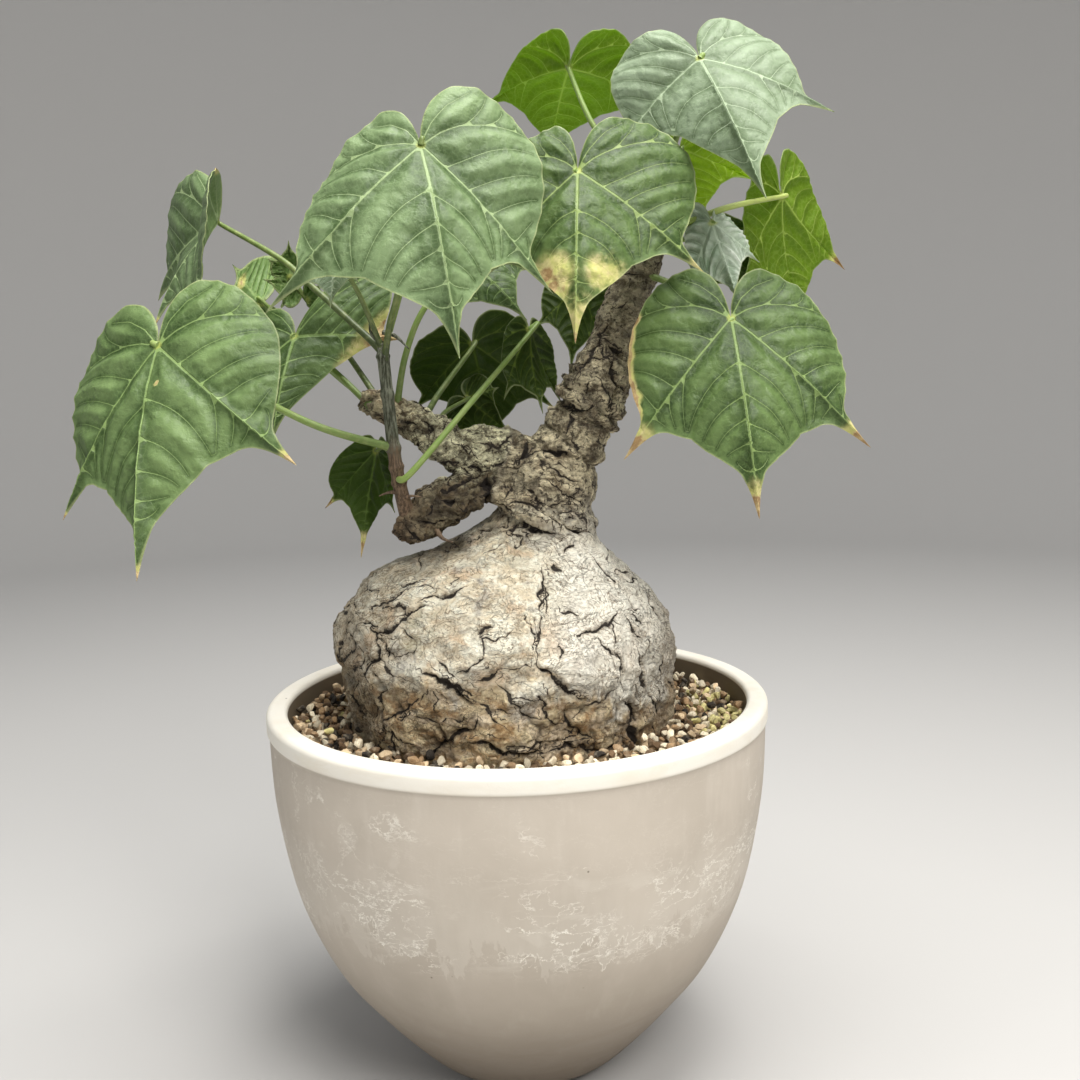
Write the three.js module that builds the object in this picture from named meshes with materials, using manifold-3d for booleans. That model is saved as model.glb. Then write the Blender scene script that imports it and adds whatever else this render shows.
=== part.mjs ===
// Potted firmiana colorata: a swollen caudex with a leaning trunk and a gnarled side branch,
// lobed leaves with long drip tips, gravel, and a round-bellied pot. Millimetres, +Z up.
// The origin is the centre of the pot's foot, and -Y is the side the plant shows to its viewer.
import * as THREE from 'three';
import { mergeVertices } from 'three/addons/utils/BufferGeometryUtils.js';
import manifoldModule from 'manifold-3d';

// Driving dimensions.
const POT_RADIUS = 125;
const POT_HEIGHT = 190;
const POT_MOUTH_RADIUS = 114.6;
const POT_WALL = 8;
const POT_FLOOR = 12;
const LIP_HEIGHT = 9;
const FOOT_RADIUS = 40;
const DRAIN_RADIUS = 5;
const DRAIN_CIRCLE = 22;
const GRAVEL_TOP = 178;
const GRAIN = 6;
const SEAT_GAP = 0.3;
const BLADE_THICKNESS = 0.8;
const STALK_RADIUS = 1.7;

const wasm = await manifoldModule();
wasm.setup();

// A small seeded generator, so that every run gives the same plant.
function seeded(seed) {
  let state = seed;
  return () => {
    state = (state * 1664525 + 1013904223) % 4294967296;
    return state / 4294967296;
  };
}

function vec(list) {
  return new THREE.Vector3(...list);
}

// Boolean joins and cuts work on merged, position-only meshes.
function toSolid(geometry) {
  const bare = new THREE.BufferGeometry();
  bare.setAttribute('position', geometry.getAttribute('position').clone());
  if (geometry.index) bare.setIndex(geometry.index.clone());
  const merged = mergeVertices(bare, 1e-4);
  return new wasm.Manifold(new wasm.Mesh({
    numProp: 3,
    vertProperties: new Float32Array(merged.getAttribute('position').array),
    triVerts: new Uint32Array(merged.index.array),
  }));
}

function toGeometry(solid) {
  const mesh = solid.getMesh();
  const geometry = new THREE.BufferGeometry();
  geometry.setAttribute('position', new THREE.BufferAttribute(new Float32Array(mesh.vertProperties), 3));
  geometry.setIndex(new THREE.BufferAttribute(new Uint32Array(mesh.triVerts), 1));
  geometry.computeVertexNormals();
  return geometry;
}

function join(solids) {
  return solids.reduce((whole, next) => whole.add(next));
}

function indexed(points, faces) {
  const geometry = new THREE.BufferGeometry();
  const list = points.flatMap((p) => [p.x, p.y, p.z]);
  geometry.setAttribute('position', new THREE.Float32BufferAttribute(list, 3));
  geometry.setIndex(faces);
  return geometry;
}

// A closed skin over a stack of rings of equal count, with a fan at each end.
function loft(rings) {
  const count = rings[0].length;
  const points = rings.flat();
  const first = points.length;
  const middle = (ring) => ring.reduce((sum, p) => sum.add(p), new THREE.Vector3()).divideScalar(count);
  points.push(middle(rings[0]), middle(rings[rings.length - 1]));
  const faces = [];
  for (let r = 0; r + 1 < rings.length; r += 1) {
    for (let i = 0; i < count; i += 1) {
      const j = (i + 1) % count;
      const a = r * count + i;
      const b = r * count + j;
      faces.push(a, b, b + count, a, b + count, a + count);
    }
  }
  const last = (rings.length - 1) * count;
  for (let i = 0; i < count; i += 1) {
    const j = (i + 1) % count;
    faces.push(first, j, i, first + 1, last + i, last + j);
  }
  return indexed(points, faces);
}

// A tube through stations [x, y, z, radius]; swell varies the radius along and around it.
function tube(stations, sides, steps, swell = () => 1, grow = 0) {
  const curve = new THREE.CatmullRomCurve3(stations.map((s) => vec(s.slice(0, 3))), false, 'centripetal');
  const radii = stations.map((s) => s[3] + grow);
  const rings = [];
  const across = new THREE.Vector3(0, 1, 0);
  for (let k = 0; k <= steps; k += 1) {
    const t = k / steps;
    const at = curve.getPoint(t);
    const along = curve.getTangent(t);
    across.addScaledVector(along, -across.dot(along));
    across.normalize();
    const over = new THREE.Vector3().crossVectors(along, across);
    const place = t * (radii.length - 1);
    const low = Math.min(Math.floor(place), radii.length - 2);
    const radius = THREE.MathUtils.lerp(radii[low], radii[low + 1], place - low);
    const ring = [];
    for (let i = 0; i < sides; i += 1) {
      const angle = (2 * Math.PI * i) / sides;
      const r = radius * swell(t, angle);
      ring.push(at.clone()
        .addScaledVector(across, r * Math.cos(angle))
        .addScaledVector(over, r * Math.sin(angle)));
    }
    rings.push(ring);
  }
  return toSolid(loft(rings));
}

// The pot: a belly that curves in to a small foot, with a proud rounded lip.
const BELLY = new THREE.SplineCurve([
  new THREE.Vector2(FOOT_RADIUS + 4, 1.2),
  new THREE.Vector2(56, 15),
  new THREE.Vector2(70, 27),
  new THREE.Vector2(96.5, 60),
  new THREE.Vector2(116.6, 110),
  new THREE.Vector2(122.6, 150),
  new THREE.Vector2(123.6, POT_HEIGHT - LIP_HEIGHT - 1),
]).getPoints(10);

// The inner wall from the floor up to a height, drawn in by a gap where something fills it.
function innerWall(top, gap = 0) {
  return BELLY
    .filter((p) => p.y > POT_FLOOR + 8 && p.y < top)
    .map((p) => new THREE.Vector2(Math.min(p.x - POT_WALL, POT_MOUTH_RADIUS) - gap, p.y));
}

function makePot() {
  const profile = [
    new THREE.Vector2(0, 0),
    new THREE.Vector2(FOOT_RADIUS, 0),
    ...BELLY,
    new THREE.Vector2(POT_RADIUS, POT_HEIGHT - LIP_HEIGHT),
    new THREE.Vector2(POT_RADIUS, POT_HEIGHT - 2.5),
    new THREE.Vector2(POT_RADIUS - 1, POT_HEIGHT - 0.6),
    new THREE.Vector2(POT_RADIUS - 2.6, POT_HEIGHT),
    new THREE.Vector2(POT_MOUTH_RADIUS + 1.4, POT_HEIGHT),
    new THREE.Vector2(POT_MOUTH_RADIUS, POT_HEIGHT - 1.4),
    ...innerWall(POT_HEIGHT - LIP_HEIGHT - 4).reverse(),
    new THREE.Vector2(36, POT_FLOOR),
    new THREE.Vector2(0, POT_FLOOR),
  ];
  const turned = new THREE.LatheGeometry(profile, 40);
  turned.rotateX(Math.PI / 2);
  let pot = toSolid(turned);
  for (let i = 0; i < 3; i += 1) {
    const angle = Math.PI / 6 + (2 * Math.PI * i) / 3;
    const drill = new THREE.CylinderGeometry(DRAIN_RADIUS, DRAIN_RADIUS, 3 * POT_FLOOR, 12);
    drill.rotateX(Math.PI / 2);
    drill.translate(DRAIN_CIRCLE * Math.cos(angle), DRAIN_CIRCLE * Math.sin(angle), POT_FLOOR / 2);
    pot = pot.subtract(toSolid(drill));
  }
  return pot;
}

// The wood: caudex, leaning trunk, gnarled left branch, curled stub and slim side shoot.
// Caudex levels: height, centre x, radius.
const CAUDEX = [
  [132, -2, 20],
  [140, -3, 50],
  [154, -3, 68],
  [170, -2, 76],
  [186, -3, 80],
  [202, -4, 82.5],
  [218, -6, 83.5],
  [230, -7, 81.5],
  [240, -8, 76],
  [249, -7, 67],
  [256, -4, 57],
  [262, 0, 48],
  [268, 6, 37],
  [277, 12, 27],
  [284, 14, 22],
];
const TRUNK = [
  [11, -2, 262, 30],
  [14, -2, 276, 25],
  [16, -2, 290, 24],
  [21, -2, 302, 21.5],
  [28, -2, 314, 18],
  [35, -2, 326, 15],
  [41, -2, 339, 16.5],
  [44, -2, 346, 15],
  [49, -1, 362, 11.5],
  [56, -1, 380, 10],
  [64, 0, 398, 9.5],
  [70, 0, 412, 8.5],
  [74, 2, 422, 4.5],
];
const BRANCH = [
  [16, -3, 300, 16],
  [0, -5, 308, 14],
  [-13, -6, 312, 12.5],
  [-26, -7, 314, 11.5],
  [-36, -8, 321, 10],
  [-46, -9, 328, 8.5],
  [-57, -9, 334, 8],
  [-67, -9, 338, 6.5],
  [-72, -9, 339, 4],
];
const STUB = [
  [0, -8, 300, 9],
  [-14, -12, 297, 10],
  [-27, -15, 292, 11.5],
  [-40, -17, 284, 10.5],
  [-49, -18, 277, 9],
  [-53, -18, 272, 5],
];
const SHOOT = [
  [-50, -19, 284, 4],
  [-52, -26, 298, 3.3],
  [-54, -28, 315, 3.1],
  [-56, -28, 340, 2.8],
  [-57.5, -27, 360, 2.8],
  [-58, -27, 367, 1.6],
];
const KNOB = [
  [-4, -14, 292, 6],
  [-7, -20, 294, 5.5],
  [-9, -24, 293, 3],
];

// Two vertical folds run up the caudex's front, one near each side.
function makeCaudex(grow) {
  const sides = 30;
  const rings = CAUDEX.map(([height, centre, radius]) => {
    const ring = [];
    for (let i = 0; i < sides; i += 1) {
      const angle = (2 * Math.PI * i) / sides;
      const fold = 1 + 0.018 * Math.sin(5 * angle + height / 19) * Math.sin(height / 23)
        - 0.035 * Math.exp(-(((angle - 5.75) / 0.12) ** 2)) * (height < 236 ? 1 : 0.2)
        - 0.03 * Math.exp(-(((angle - 3.62) / 0.14) ** 2)) * (height < 216 ? 1 : 0.2);
      const r = radius * fold + grow;
      ring.push(new THREE.Vector3(centre + r * Math.cos(angle), -2 + 0.98 * r * Math.sin(angle), height));
    }
    return ring;
  });
  return toSolid(loft(rings));
}

// Collars ring the trunk where old leaves fell; gnarls twist round the branch and the stub.
function collars(t, angle) {
  return 1 + 0.06 * Math.sin(34 * t + 0.8 * Math.sin(angle)) + 0.03 * Math.sin(3 * angle);
}

function gnarls(t, angle) {
  return 1 + 0.09 * Math.sin(21 * t) * Math.sin(2 * angle + 5 * t) + 0.04 * Math.sin(3 * angle);
}

function makeWood(grow = 0) {
  return join([
    makeCaudex(grow),
    tube(TRUNK, 16, 24, collars, grow),
    tube(BRANCH, 12, 16, gnarls, grow),
    tube(STUB, 12, 12, gnarls, grow),
    tube(SHOOT, 8, 10, undefined, grow),
    tube(KNOB, 8, 4, undefined, grow),
  ]);
}

// The gravel fills the pot to its top level, with a bed of mounds one grain high.
function makeGravel(woodCutter) {
  const sides = 60;
  const random = seeded(7);
  const wall = innerWall(GRAVEL_TOP - 3, 2 * SEAT_GAP).map((p) => [p.x, p.y, 0]);
  const edge = POT_MOUTH_RADIUS - 3 * SEAT_GAP;
  const levels = [
    [36 - 2 * SEAT_GAP, POT_FLOOR + SEAT_GAP, 0],
    ...wall,
    [edge, GRAVEL_TOP - 2, 0],
    [edge - 1, GRAVEL_TOP, 0.3],
  ];
  for (let r = edge - GRAIN; r > 70; r -= GRAIN) levels.push([r, GRAVEL_TOP, 0.3]);
  levels.push([50, GRAVEL_TOP, 0]);
  const rings = levels.map(([radius, height, lift]) => {
    const ring = [];
    for (let i = 0; i < sides; i += 1) {
      const angle = (2 * Math.PI * i) / sides;
      const rise = lift * GRAIN * (random() - 0.5);
      ring.push(new THREE.Vector3(radius * Math.cos(angle), radius * Math.sin(angle), height + rise));
    }
    return ring;
  });
  return toSolid(loft(rings)).subtract(woodCutter);
}

// The pattern leaf: distance from the stalk to the edge, over the angle from the midrib.
// A lobed, heart-based outline, with a drip tip on the middle lobe and on each side lobe.
const LOBE_ANGLE = 44;
const SHOULDER_ANGLE = 134;
const LOBE_REACH = 0.9;
const SHOULDER_REACH = 0.4;
const EDGE_ANGLES = [0, 12, 25, 36, 44, 52, 64, 80, 100, 118, 134, 146, 156, 164, 170];
const EDGE_REACH = [0.8, 0.71, 0.64, 0.66, 0.7, 0.66, 0.6, 0.53, 0.47, 0.44, 0.4, 0.34, 0.25, 0.14, 0.05];

function reach(angle, fullness) {
  let i = 0;
  while (i < EDGE_ANGLES.length - 2 && EDGE_ANGLES[i + 1] < angle) i += 1;
  const span = EDGE_ANGLES[i + 1] - EDGE_ANGLES[i];
  const body = THREE.MathUtils.lerp(EDGE_REACH[i], EDGE_REACH[i + 1], (angle - EDGE_ANGLES[i]) / span);
  const drips = 0.2 * Math.exp(-angle / 2.6) + 0.2 * Math.exp(-Math.abs(angle - LOBE_ANGLE) / 3);
  return (body + drips) * (1 + fullness * Math.exp(-(((angle - 88) / 30) ** 2)));
}

// Each sector between two main veins is the pattern leaf's own sector, stretched to the
// leaf's real vein directions: tip, side lobe, back lobe, and the notch behind the stalk.
function bladeRay(leaf, angle) {
  const onLeft = angle >= 0;
  const size = Math.abs(angle);
  const lobe = vec(onLeft ? leaf.left : leaf.right).divideScalar(LOBE_REACH);
  const shoulder = vec(onLeft ? leaf.backLeft : leaf.backRight).divideScalar(SHOULDER_REACH);
  const tip = vec(leaf.tip);
  const sectors = [
    [0, LOBE_ANGLE, tip, lobe],
    [LOBE_ANGLE, SHOULDER_ANGLE, lobe, shoulder],
    [SHOULDER_ANGLE, 180, shoulder, tip.clone().negate()],
  ];
  const [from, to, a, b] = sectors.find((s) => size <= s[1]);
  const rad = Math.PI / 180;
  const whole = Math.sin((to - from) * rad);
  const fullness = (leaf.full ?? [0, 0])[onLeft ? 0 : 1];
  return new THREE.Vector3()
    .addScaledVector(a, Math.sin((to - size) * rad) / whole)
    .addScaledVector(b, Math.sin((size - from) * rad) / whole)
    .multiplyScalar(reach(size, fullness));
}

function upperFace(leaf) {
  const tip = vec(leaf.tip);
  const up = new THREE.Vector3().crossVectors(vec(leaf.left), tip);
  return up.add(new THREE.Vector3().crossVectors(tip, vec(leaf.right))).normalize();
}

const FINE_SPOKES = [0, 7, 20, 34, 44, 54, 70, 88, 110, 134, 150, 163];
const COARSE_SPOKES = [0, 9, 26, 44, 62, 88, 116, 140, 160];

// A blade arches by a few hundredths of its length and its margin waves a little.
function makeBlade(leaf) {
  const length = vec(leaf.tip).length();
  const small = length < 60;
  const half = small ? COARSE_SPOKES : FINE_SPOKES;
  const angles = [...half.slice(1).map((a) => -a).reverse(), ...half];
  const fractions = small ? [0.5, 1] : [0.33, 0.68, 1];
  const up = upperFace(leaf);
  const arch = (leaf.arch ?? 0.07) * length;
  const at = vec(leaf.at);
  const middle = (angle, s) => {
    const ray = bladeRay(leaf, angle);
    const share = ray.length() / length;
    const wave = 0.012 * length * s * s * Math.sin((angle / 180) * Math.PI * 7 + length);
    return at.clone().addScaledVector(ray, s).addScaledVector(up, 4 * arch * share * s * (1 - s) + wave);
  };
  const grid = angles.map((angle) => fractions.map((s) => middle(angle, s)));
  const points = [at.clone().addScaledVector(up, BLADE_THICKNESS / 2)];
  const under = [at.clone().addScaledVector(up, -BLADE_THICKNESS / 2)];
  grid.forEach((spoke, a) => spoke.forEach((p, f) => {
    const before = grid[Math.max(a - 1, 0)][f];
    const after = grid[Math.min(a + 1, grid.length - 1)][f];
    const inner = f > 0 ? spoke[f - 1] : at;
    const normal = new THREE.Vector3().crossVectors(
      new THREE.Vector3().subVectors(before, after),
      new THREE.Vector3().subVectors(p, inner),
    ).normalize();
    if (normal.dot(up) < 0) normal.negate();
    normal.lerp(up, 0.4).normalize();
    points.push(p.clone().addScaledVector(normal, BLADE_THICKNESS / 2));
    under.push(p.clone().addScaledVector(normal, -BLADE_THICKNESS / 2));
  }));
  const count = points.length;
  const ring = fractions.length;
  const node = (a, f) => (f < 0 ? 0 : 1 + a * ring + f);
  const faces = [];
  const both = (a, b, c) => faces.push(a, c, b, a + count, b + count, c + count);
  const side = (a, b) => faces.push(a, b, a + count, b, b + count, a + count);
  for (let a = 0; a + 1 < angles.length; a += 1) {
    both(0, node(a, 0), node(a + 1, 0));
    for (let f = 0; f + 1 < ring; f += 1) {
      both(node(a, f), node(a, f + 1), node(a + 1, f + 1));
      both(node(a, f), node(a + 1, f + 1), node(a + 1, f));
    }
    side(node(a, ring - 1), node(a + 1, ring - 1));
  }
  for (let f = -1; f + 1 < ring; f += 1) {
    side(node(0, f), node(0, f + 1));
    side(node(angles.length - 1, f + 1), node(angles.length - 1, f));
  }
  return toSolid(indexed([...points, ...under], faces));
}

// A stalk thins from its swollen base and meets the blade from its lower face.
function makeStalk(leaf) {
  const end = vec(leaf.at);
  const under = end.clone().addScaledVector(upperFace(leaf), -6);
  const radius = STALK_RADIUS * (leaf.stout ?? 1);
  const stations = [
    ...leaf.stalk.map((p, i) => [...p, radius * (i === 0 ? 1.15 : 1 - 0.08 * i)]),
    [...under.toArray(), radius * 0.7],
    [...end.toArray(), radius * 0.7],
  ];
  return tube(stations, 6, 2 + 2 * leaf.stalk.length);
}

// Each leaf: the blade's foot (at), then the reach of its tip, side lobes and back lobes
// from there, and the way its stalk takes from the wood.
const LEAVES = {
  leaf_low_left: {
    at: [-151, -62, 367], tip: [-5, -38, -97], left: [-46, -4, -75], right: [62, -30, -50],
    backLeft: [-27, 22, 11], backRight: [25, 10, 27], full: [0, 0.12], stout: 1.15,
    stalk: [[-53, -27, 317], [-82, -40, 327], [-106, -44, 339]],
  },
  leaf_edge_left: {
    at: [-139, 8, 426], tip: [-30, -10, -49], left: [-46, 54, -34], right: [2, -50, -40],
    backLeft: [-15, 26, 28], backRight: [8, -30, 21], full: [0.15, 0.1],
    stalk: [[-57, -27, 362], [-91, -12, 393], [-107, -6, 407]],
  },
  leaf_folded_left: {
    at: [-102, -6, 370], tip: [-9, -22, -48], left: [-33, 4, -30], right: [50, 6, -2],
    backLeft: [-13, 10, 13], backRight: [28, 14, 33],
    stalk: [[-66, -12, 336], [-84, -3, 353]],
  },
  leaf_tucked_left: {
    at: [-122, 16, 387], tip: [-21, -20, -6], left: [-9, -14, -22], right: [-12, -4, 19],
    backLeft: [9, 16, -10], backRight: [6, 20, 19], stout: 0.8,
    stalk: [[-67, -4, 337], [-92, 16, 356]],
  },
  leaf_big_left: {
    at: [-32, -78, 446], tip: [16, -46, -87], left: [-64, -22, -67], right: [52, 2, -60],
    backLeft: [-23, 12, 10], backRight: [22, 16, 24], full: [-0.06, 0.2],
    stalk: [[-57, -27, 357], [-53, -34, 374], [-46, -50, 392]],
  },
  leaf_pale_small: {
    at: [-73, -52, 406], tip: [-1, -18, -25], left: [-17, -6, -16], right: [9, 2, -14],
    backLeft: [-9, 10, 6], backRight: [5, 12, 7], stout: 0.8,
    stalk: [[-58, -27, 364], [-66, -36, 388]],
  },
  leaf_centre: {
    at: [34, -42, 439], tip: [-4, -46, -76], left: [-46, -6, -48], right: [53, -8, -45],
    backLeft: [-14, 8, 19], backRight: [23, 16, 24], full: [0.1, 0.25],
    stalk: [[67, -4, 408], [58, -24, 424]],
  },
  leaf_top_back: {
    at: [33, 25, 497], tip: [-10, 67, -33], left: [49, 39, -15], right: [-45, 39, -11],
    backLeft: [17, -7, 16], backRight: [-8, -7, 16], full: [0, -0.05],
    stalk: [[71, 3, 416], [62, 12, 445], [44, 15, 468]],
  },
  leaf_top_right: {
    at: [92, -15, 491], tip: [20, -59, -69], left: [-37, 9, -38], right: [58, -15, -27],
    backLeft: [-22, 11, 14], backRight: [13, 19, 21], full: [0.15, 0.05],
    stalk: [[73, 0, 418], [80, 4, 450]],
  },
  leaf_lit_right: {
    at: [88, 30, 458], tip: [17, 32, -32], left: [45, 42, -11], right: [-20, 10, -30],
    backLeft: [19, 10, 14], backRight: [-15, 0, 10],
    stalk: [[72, 4, 414], [78, 16, 440]],
  },
  leaf_far_right: {
    at: [135, 12, 432], tip: [17, 32, -64], left: [41, 40, -34], right: [-18, 8, -41],
    backLeft: [7, 12, 24], backRight: [-11, -12, 17], full: [-0.1, 0.1],
    stalk: [[71, 2, 413], [104, 6, 424]],
  },
  leaf_blue_small: {
    at: [98, -12, 418], tip: [10, -16, -38], left: [-11, 0, -31], right: [21, -6, -19],
    backLeft: [-8, 12, 9], backRight: [7, 16, 5], stout: 0.8,
    stalk: [[70, -2, 410], [88, -2, 412]],
  },
  leaf_dark_right: {
    at: [103, 10, 418], tip: [20, 16, -38], left: [32, 20, -17], right: [-2, 4, -35],
    backLeft: [10, 2, 4], backRight: [-8, 2, 2], stout: 0.8,
    stalk: [[69, 2, 406], [90, 8, 408]],
  },
  leaf_low_right: {
    at: [101, -48, 373], tip: [5, -44, -85], left: [-49, -10, -61], right: [59, -14, -58],
    backLeft: [-24, 12, 20], backRight: [23, 14, 19], full: [0.08, 0.06],
    stalk: [[66, -4, 396], [84, -14, 388], [96, -30, 379]],
  },
  leaf_dark_centre: {
    at: [-19, 38, 365], tip: [10, 34, -56], left: [43, 32, -37], right: [-33, 14, -34],
    backLeft: [17, 4, 16], backRight: [-22, -4, 5],
    stalk: [[-42, -4, 328], [-36, 18, 340]],
  },
  leaf_inner: {
    at: [11, 6, 371], tip: [5, -6, -41], left: [15, 16, -37], right: [-14, -10, -34],
    backLeft: [7, 14, 1], backRight: [-10, 8, 4],
    stalk: [[-53, -27, 303], [-46, -34, 306], [-18, -20, 337]],
  },
  leaf_behind_trunk: {
    at: [37, 34, 393], tip: [-6, -8, -43], left: [12, 2, -33], right: [-24, 0, -21],
    backLeft: [13, 6, 9], backRight: [-10, 6, 9],
    stalk: [[65, 2, 398], [54, 18, 402]],
  },
  leaf_small_low: {
    at: [-66, 0, 314], tip: [-8, -14, -51], left: [6, 16, -33], right: [-27, 4, -28],
    backLeft: [5, 14, -1], backRight: [-13, 6, 3], full: [0, 0.1], stout: 0.8,
    stalk: [[-54, -28, 312], [-60, -16, 317]],
  },
  leaf_strip_centre: {
    at: [-17, -10, 403], tip: [27, -18, -28], left: [-6, -14, -25], right: [32, 4, -4],
    backLeft: [-9, 10, 6], backRight: [7, 14, 11],
    stalk: [[-54, -11, 334], [-48, -18, 360], [-37, -20, 383]],
  },
  leaf_hidden_back: {
    at: [-34, 0, 449], tip: [-4, 52, -37], left: [31, 34, -16], right: [-36, 34, -19],
    backLeft: [15, -4, 10], backRight: [-13, -4, 11],
    stalk: [[-57, -8, 336], [-60, 8, 362], [-52, 8, 390]],
  },
  leaf_dark_low: {
    at: [-23, 40, 337], tip: [24, 8, -21], left: [17, 6, 5], right: [-4, 4, -21],
    backLeft: [2, 8, 11], backRight: [-10, -6, -4], stout: 0.8,
    stalk: [[-38, -6, 323], [-33, 18, 331]],
  },
};

// The youngest leaves: three small crumpled blades, fused at the end of one stalk.
const YOUNG = [
  { at: [-106, 12, 399], tip: [2, -10, 17], left: [-9, -8, 9], right: [11, -6, 9], arch: 0.2 },
  { at: [-103, 13, 395], tip: [-14, -12, 3], left: [-8, -4, -11], right: [-12, -4, 6], arch: 0.2 },
  { at: [-99, 15, 388], tip: [9, -12, 7], left: [3, -8, 12], right: [10, -6, -3], arch: 0.2 },
].map((leaf) => ({
  ...leaf,
  backLeft: vec(leaf.left).multiplyScalar(0.5).addScaledVector(vec(leaf.tip), -0.35).toArray(),
  backRight: vec(leaf.right).multiplyScalar(0.5).addScaledVector(vec(leaf.tip), -0.35).toArray(),
}));
const YOUNG_STALK = [
  [-62, -9, 338, 1.7],
  [-80, 10, 362, 1.4],
  [-97, 17, 385, 1.3],
  [-106, 12, 399, 1.4],
];

const COLOURS = {
  ceramic: { color: 0xb9ad9f, roughness: 0.85 },
  bark: { color: 0xa69a84, roughness: 0.9 },
  gravel: { color: 0x9b8562, roughness: 0.95 },
  leafTop: { color: 0x5f8a4c, roughness: 0.45 },
  leafPale: { color: 0x8fae8c, roughness: 0.45 },
  leafLit: { color: 0x86ab3e, roughness: 0.5 },
  leafDark: { color: 0x2f4a1e, roughness: 0.5 },
};
const PALE = ['leaf_top_right', 'leaf_pale_small', 'leaf_blue_small'];
const LIT = ['leaf_top_back', 'leaf_lit_right', 'leaf_far_right'];
const DARK = ['leaf_dark_right', 'leaf_dark_centre', 'leaf_inner', 'leaf_behind_trunk', 'leaf_dark_low'];

function leafColour(name) {
  if (PALE.includes(name)) return COLOURS.leafPale;
  if (LIT.includes(name)) return COLOURS.leafLit;
  if (DARK.includes(name)) return COLOURS.leafDark;
  return COLOURS.leafTop;
}

const plant = new THREE.Group();
plant.name = 'potted_firmiana';

function place(name, solid, look) {
  const material = new THREE.MeshStandardMaterial({ ...look, metalness: 0 });
  const mesh = new THREE.Mesh(toGeometry(solid), material);
  mesh.name = name;
  plant.add(mesh);
}

const woodCutter = makeWood(SEAT_GAP);
place('pot', makePot(), COLOURS.ceramic);
place('gravel', makeGravel(woodCutter), COLOURS.gravel);
place('wood', makeWood(), COLOURS.bark);
for (const [name, leaf] of Object.entries(LEAVES)) {
  const solid = makeStalk(leaf).subtract(woodCutter).add(makeBlade(leaf));
  place(name, solid, leafColour(name));
}
const youngStalk = tube(YOUNG_STALK, 6, 10).subtract(woodCutter);
place('young_leaves', join([youngStalk, ...YOUNG.map(makeBlade)]), COLOURS.leafTop);

export default plant;
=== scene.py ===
import math
import random

import bpy
import numpy as np
from mathutils import Matrix, Vector, geometry, noise
from mathutils.bvhtree import BVHTree


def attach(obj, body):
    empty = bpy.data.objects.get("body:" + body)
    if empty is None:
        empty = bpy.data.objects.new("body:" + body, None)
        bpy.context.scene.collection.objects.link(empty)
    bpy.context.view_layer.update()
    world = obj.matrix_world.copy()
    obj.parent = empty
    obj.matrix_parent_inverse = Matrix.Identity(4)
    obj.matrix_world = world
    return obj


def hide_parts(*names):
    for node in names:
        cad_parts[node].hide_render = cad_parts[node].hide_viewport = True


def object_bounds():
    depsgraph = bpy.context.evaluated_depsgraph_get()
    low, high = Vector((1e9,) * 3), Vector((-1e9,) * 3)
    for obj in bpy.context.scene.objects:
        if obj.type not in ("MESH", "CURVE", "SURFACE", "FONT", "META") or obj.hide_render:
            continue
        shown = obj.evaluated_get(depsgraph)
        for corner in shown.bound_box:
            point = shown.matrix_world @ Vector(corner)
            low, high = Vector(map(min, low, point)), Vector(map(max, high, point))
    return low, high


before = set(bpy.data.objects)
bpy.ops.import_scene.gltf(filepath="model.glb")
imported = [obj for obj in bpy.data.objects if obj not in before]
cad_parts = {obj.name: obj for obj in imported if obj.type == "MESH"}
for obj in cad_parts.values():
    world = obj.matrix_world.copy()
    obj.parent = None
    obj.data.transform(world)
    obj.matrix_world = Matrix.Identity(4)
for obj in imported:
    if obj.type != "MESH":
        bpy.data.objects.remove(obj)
cad_low, cad_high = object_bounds()
MM = 0.001
scene = bpy.context.scene

# Camera
# It stands in front of the plant and a little above its middle leaves, looks slightly down
# and leans a little to one side, as the photograph was taken.
PHOTO_PIXELS = 1080
CAMERA_AT = (0.0133, -0.616, 0.363)
CAMERA_PITCH = math.radians(8.8)
CAMERA_ROLL = math.radians(1.42)
camera_data = bpy.data.cameras.new("view")
camera_data.lens = 41.8
camera_data.sensor_width = 36
FOCAL_PIXELS = 41.8 / 36 * PHOTO_PIXELS
ahead = Vector((0, math.cos(CAMERA_PITCH), -math.sin(CAMERA_PITCH)))
above = Vector((0, math.sin(CAMERA_PITCH), math.cos(CAMERA_PITCH)))
beside = Vector((1, 0, 0))
camera_right = math.cos(CAMERA_ROLL) * beside - math.sin(CAMERA_ROLL) * above
camera_up = math.sin(CAMERA_ROLL) * beside + math.cos(CAMERA_ROLL) * above
camera = bpy.data.objects.new("view", camera_data)
turned_to_plant = Matrix((camera_right, camera_up, -ahead)).transposed().to_4x4()
camera.matrix_world = Matrix.Translation(CAMERA_AT) @ turned_to_plant
scene.collection.objects.link(camera)
scene.camera = camera

# Floor and light
# A plain pale floor that sweeps up all round into a low wall, and soft daylight: a wide
# softbox overhead, one in front on the right, a weaker one on the left, and a pale sky.
FLOOR_FLAT_RADIUS = 1.7
FLOOR_SWEEP_RADIUS = 0.9
WALL_HEIGHT = 1.5


def make_mesh(name, points, faces):
    mesh = bpy.data.meshes.new(name)
    mesh.from_pydata([tuple(p) for p in points], [], [tuple(f) for f in faces])
    mesh.polygons.foreach_set("use_smooth", [True] * len(mesh.polygons))
    mesh.update()
    made = bpy.data.objects.new(name, mesh)
    scene.collection.objects.link(made)
    return made


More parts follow.
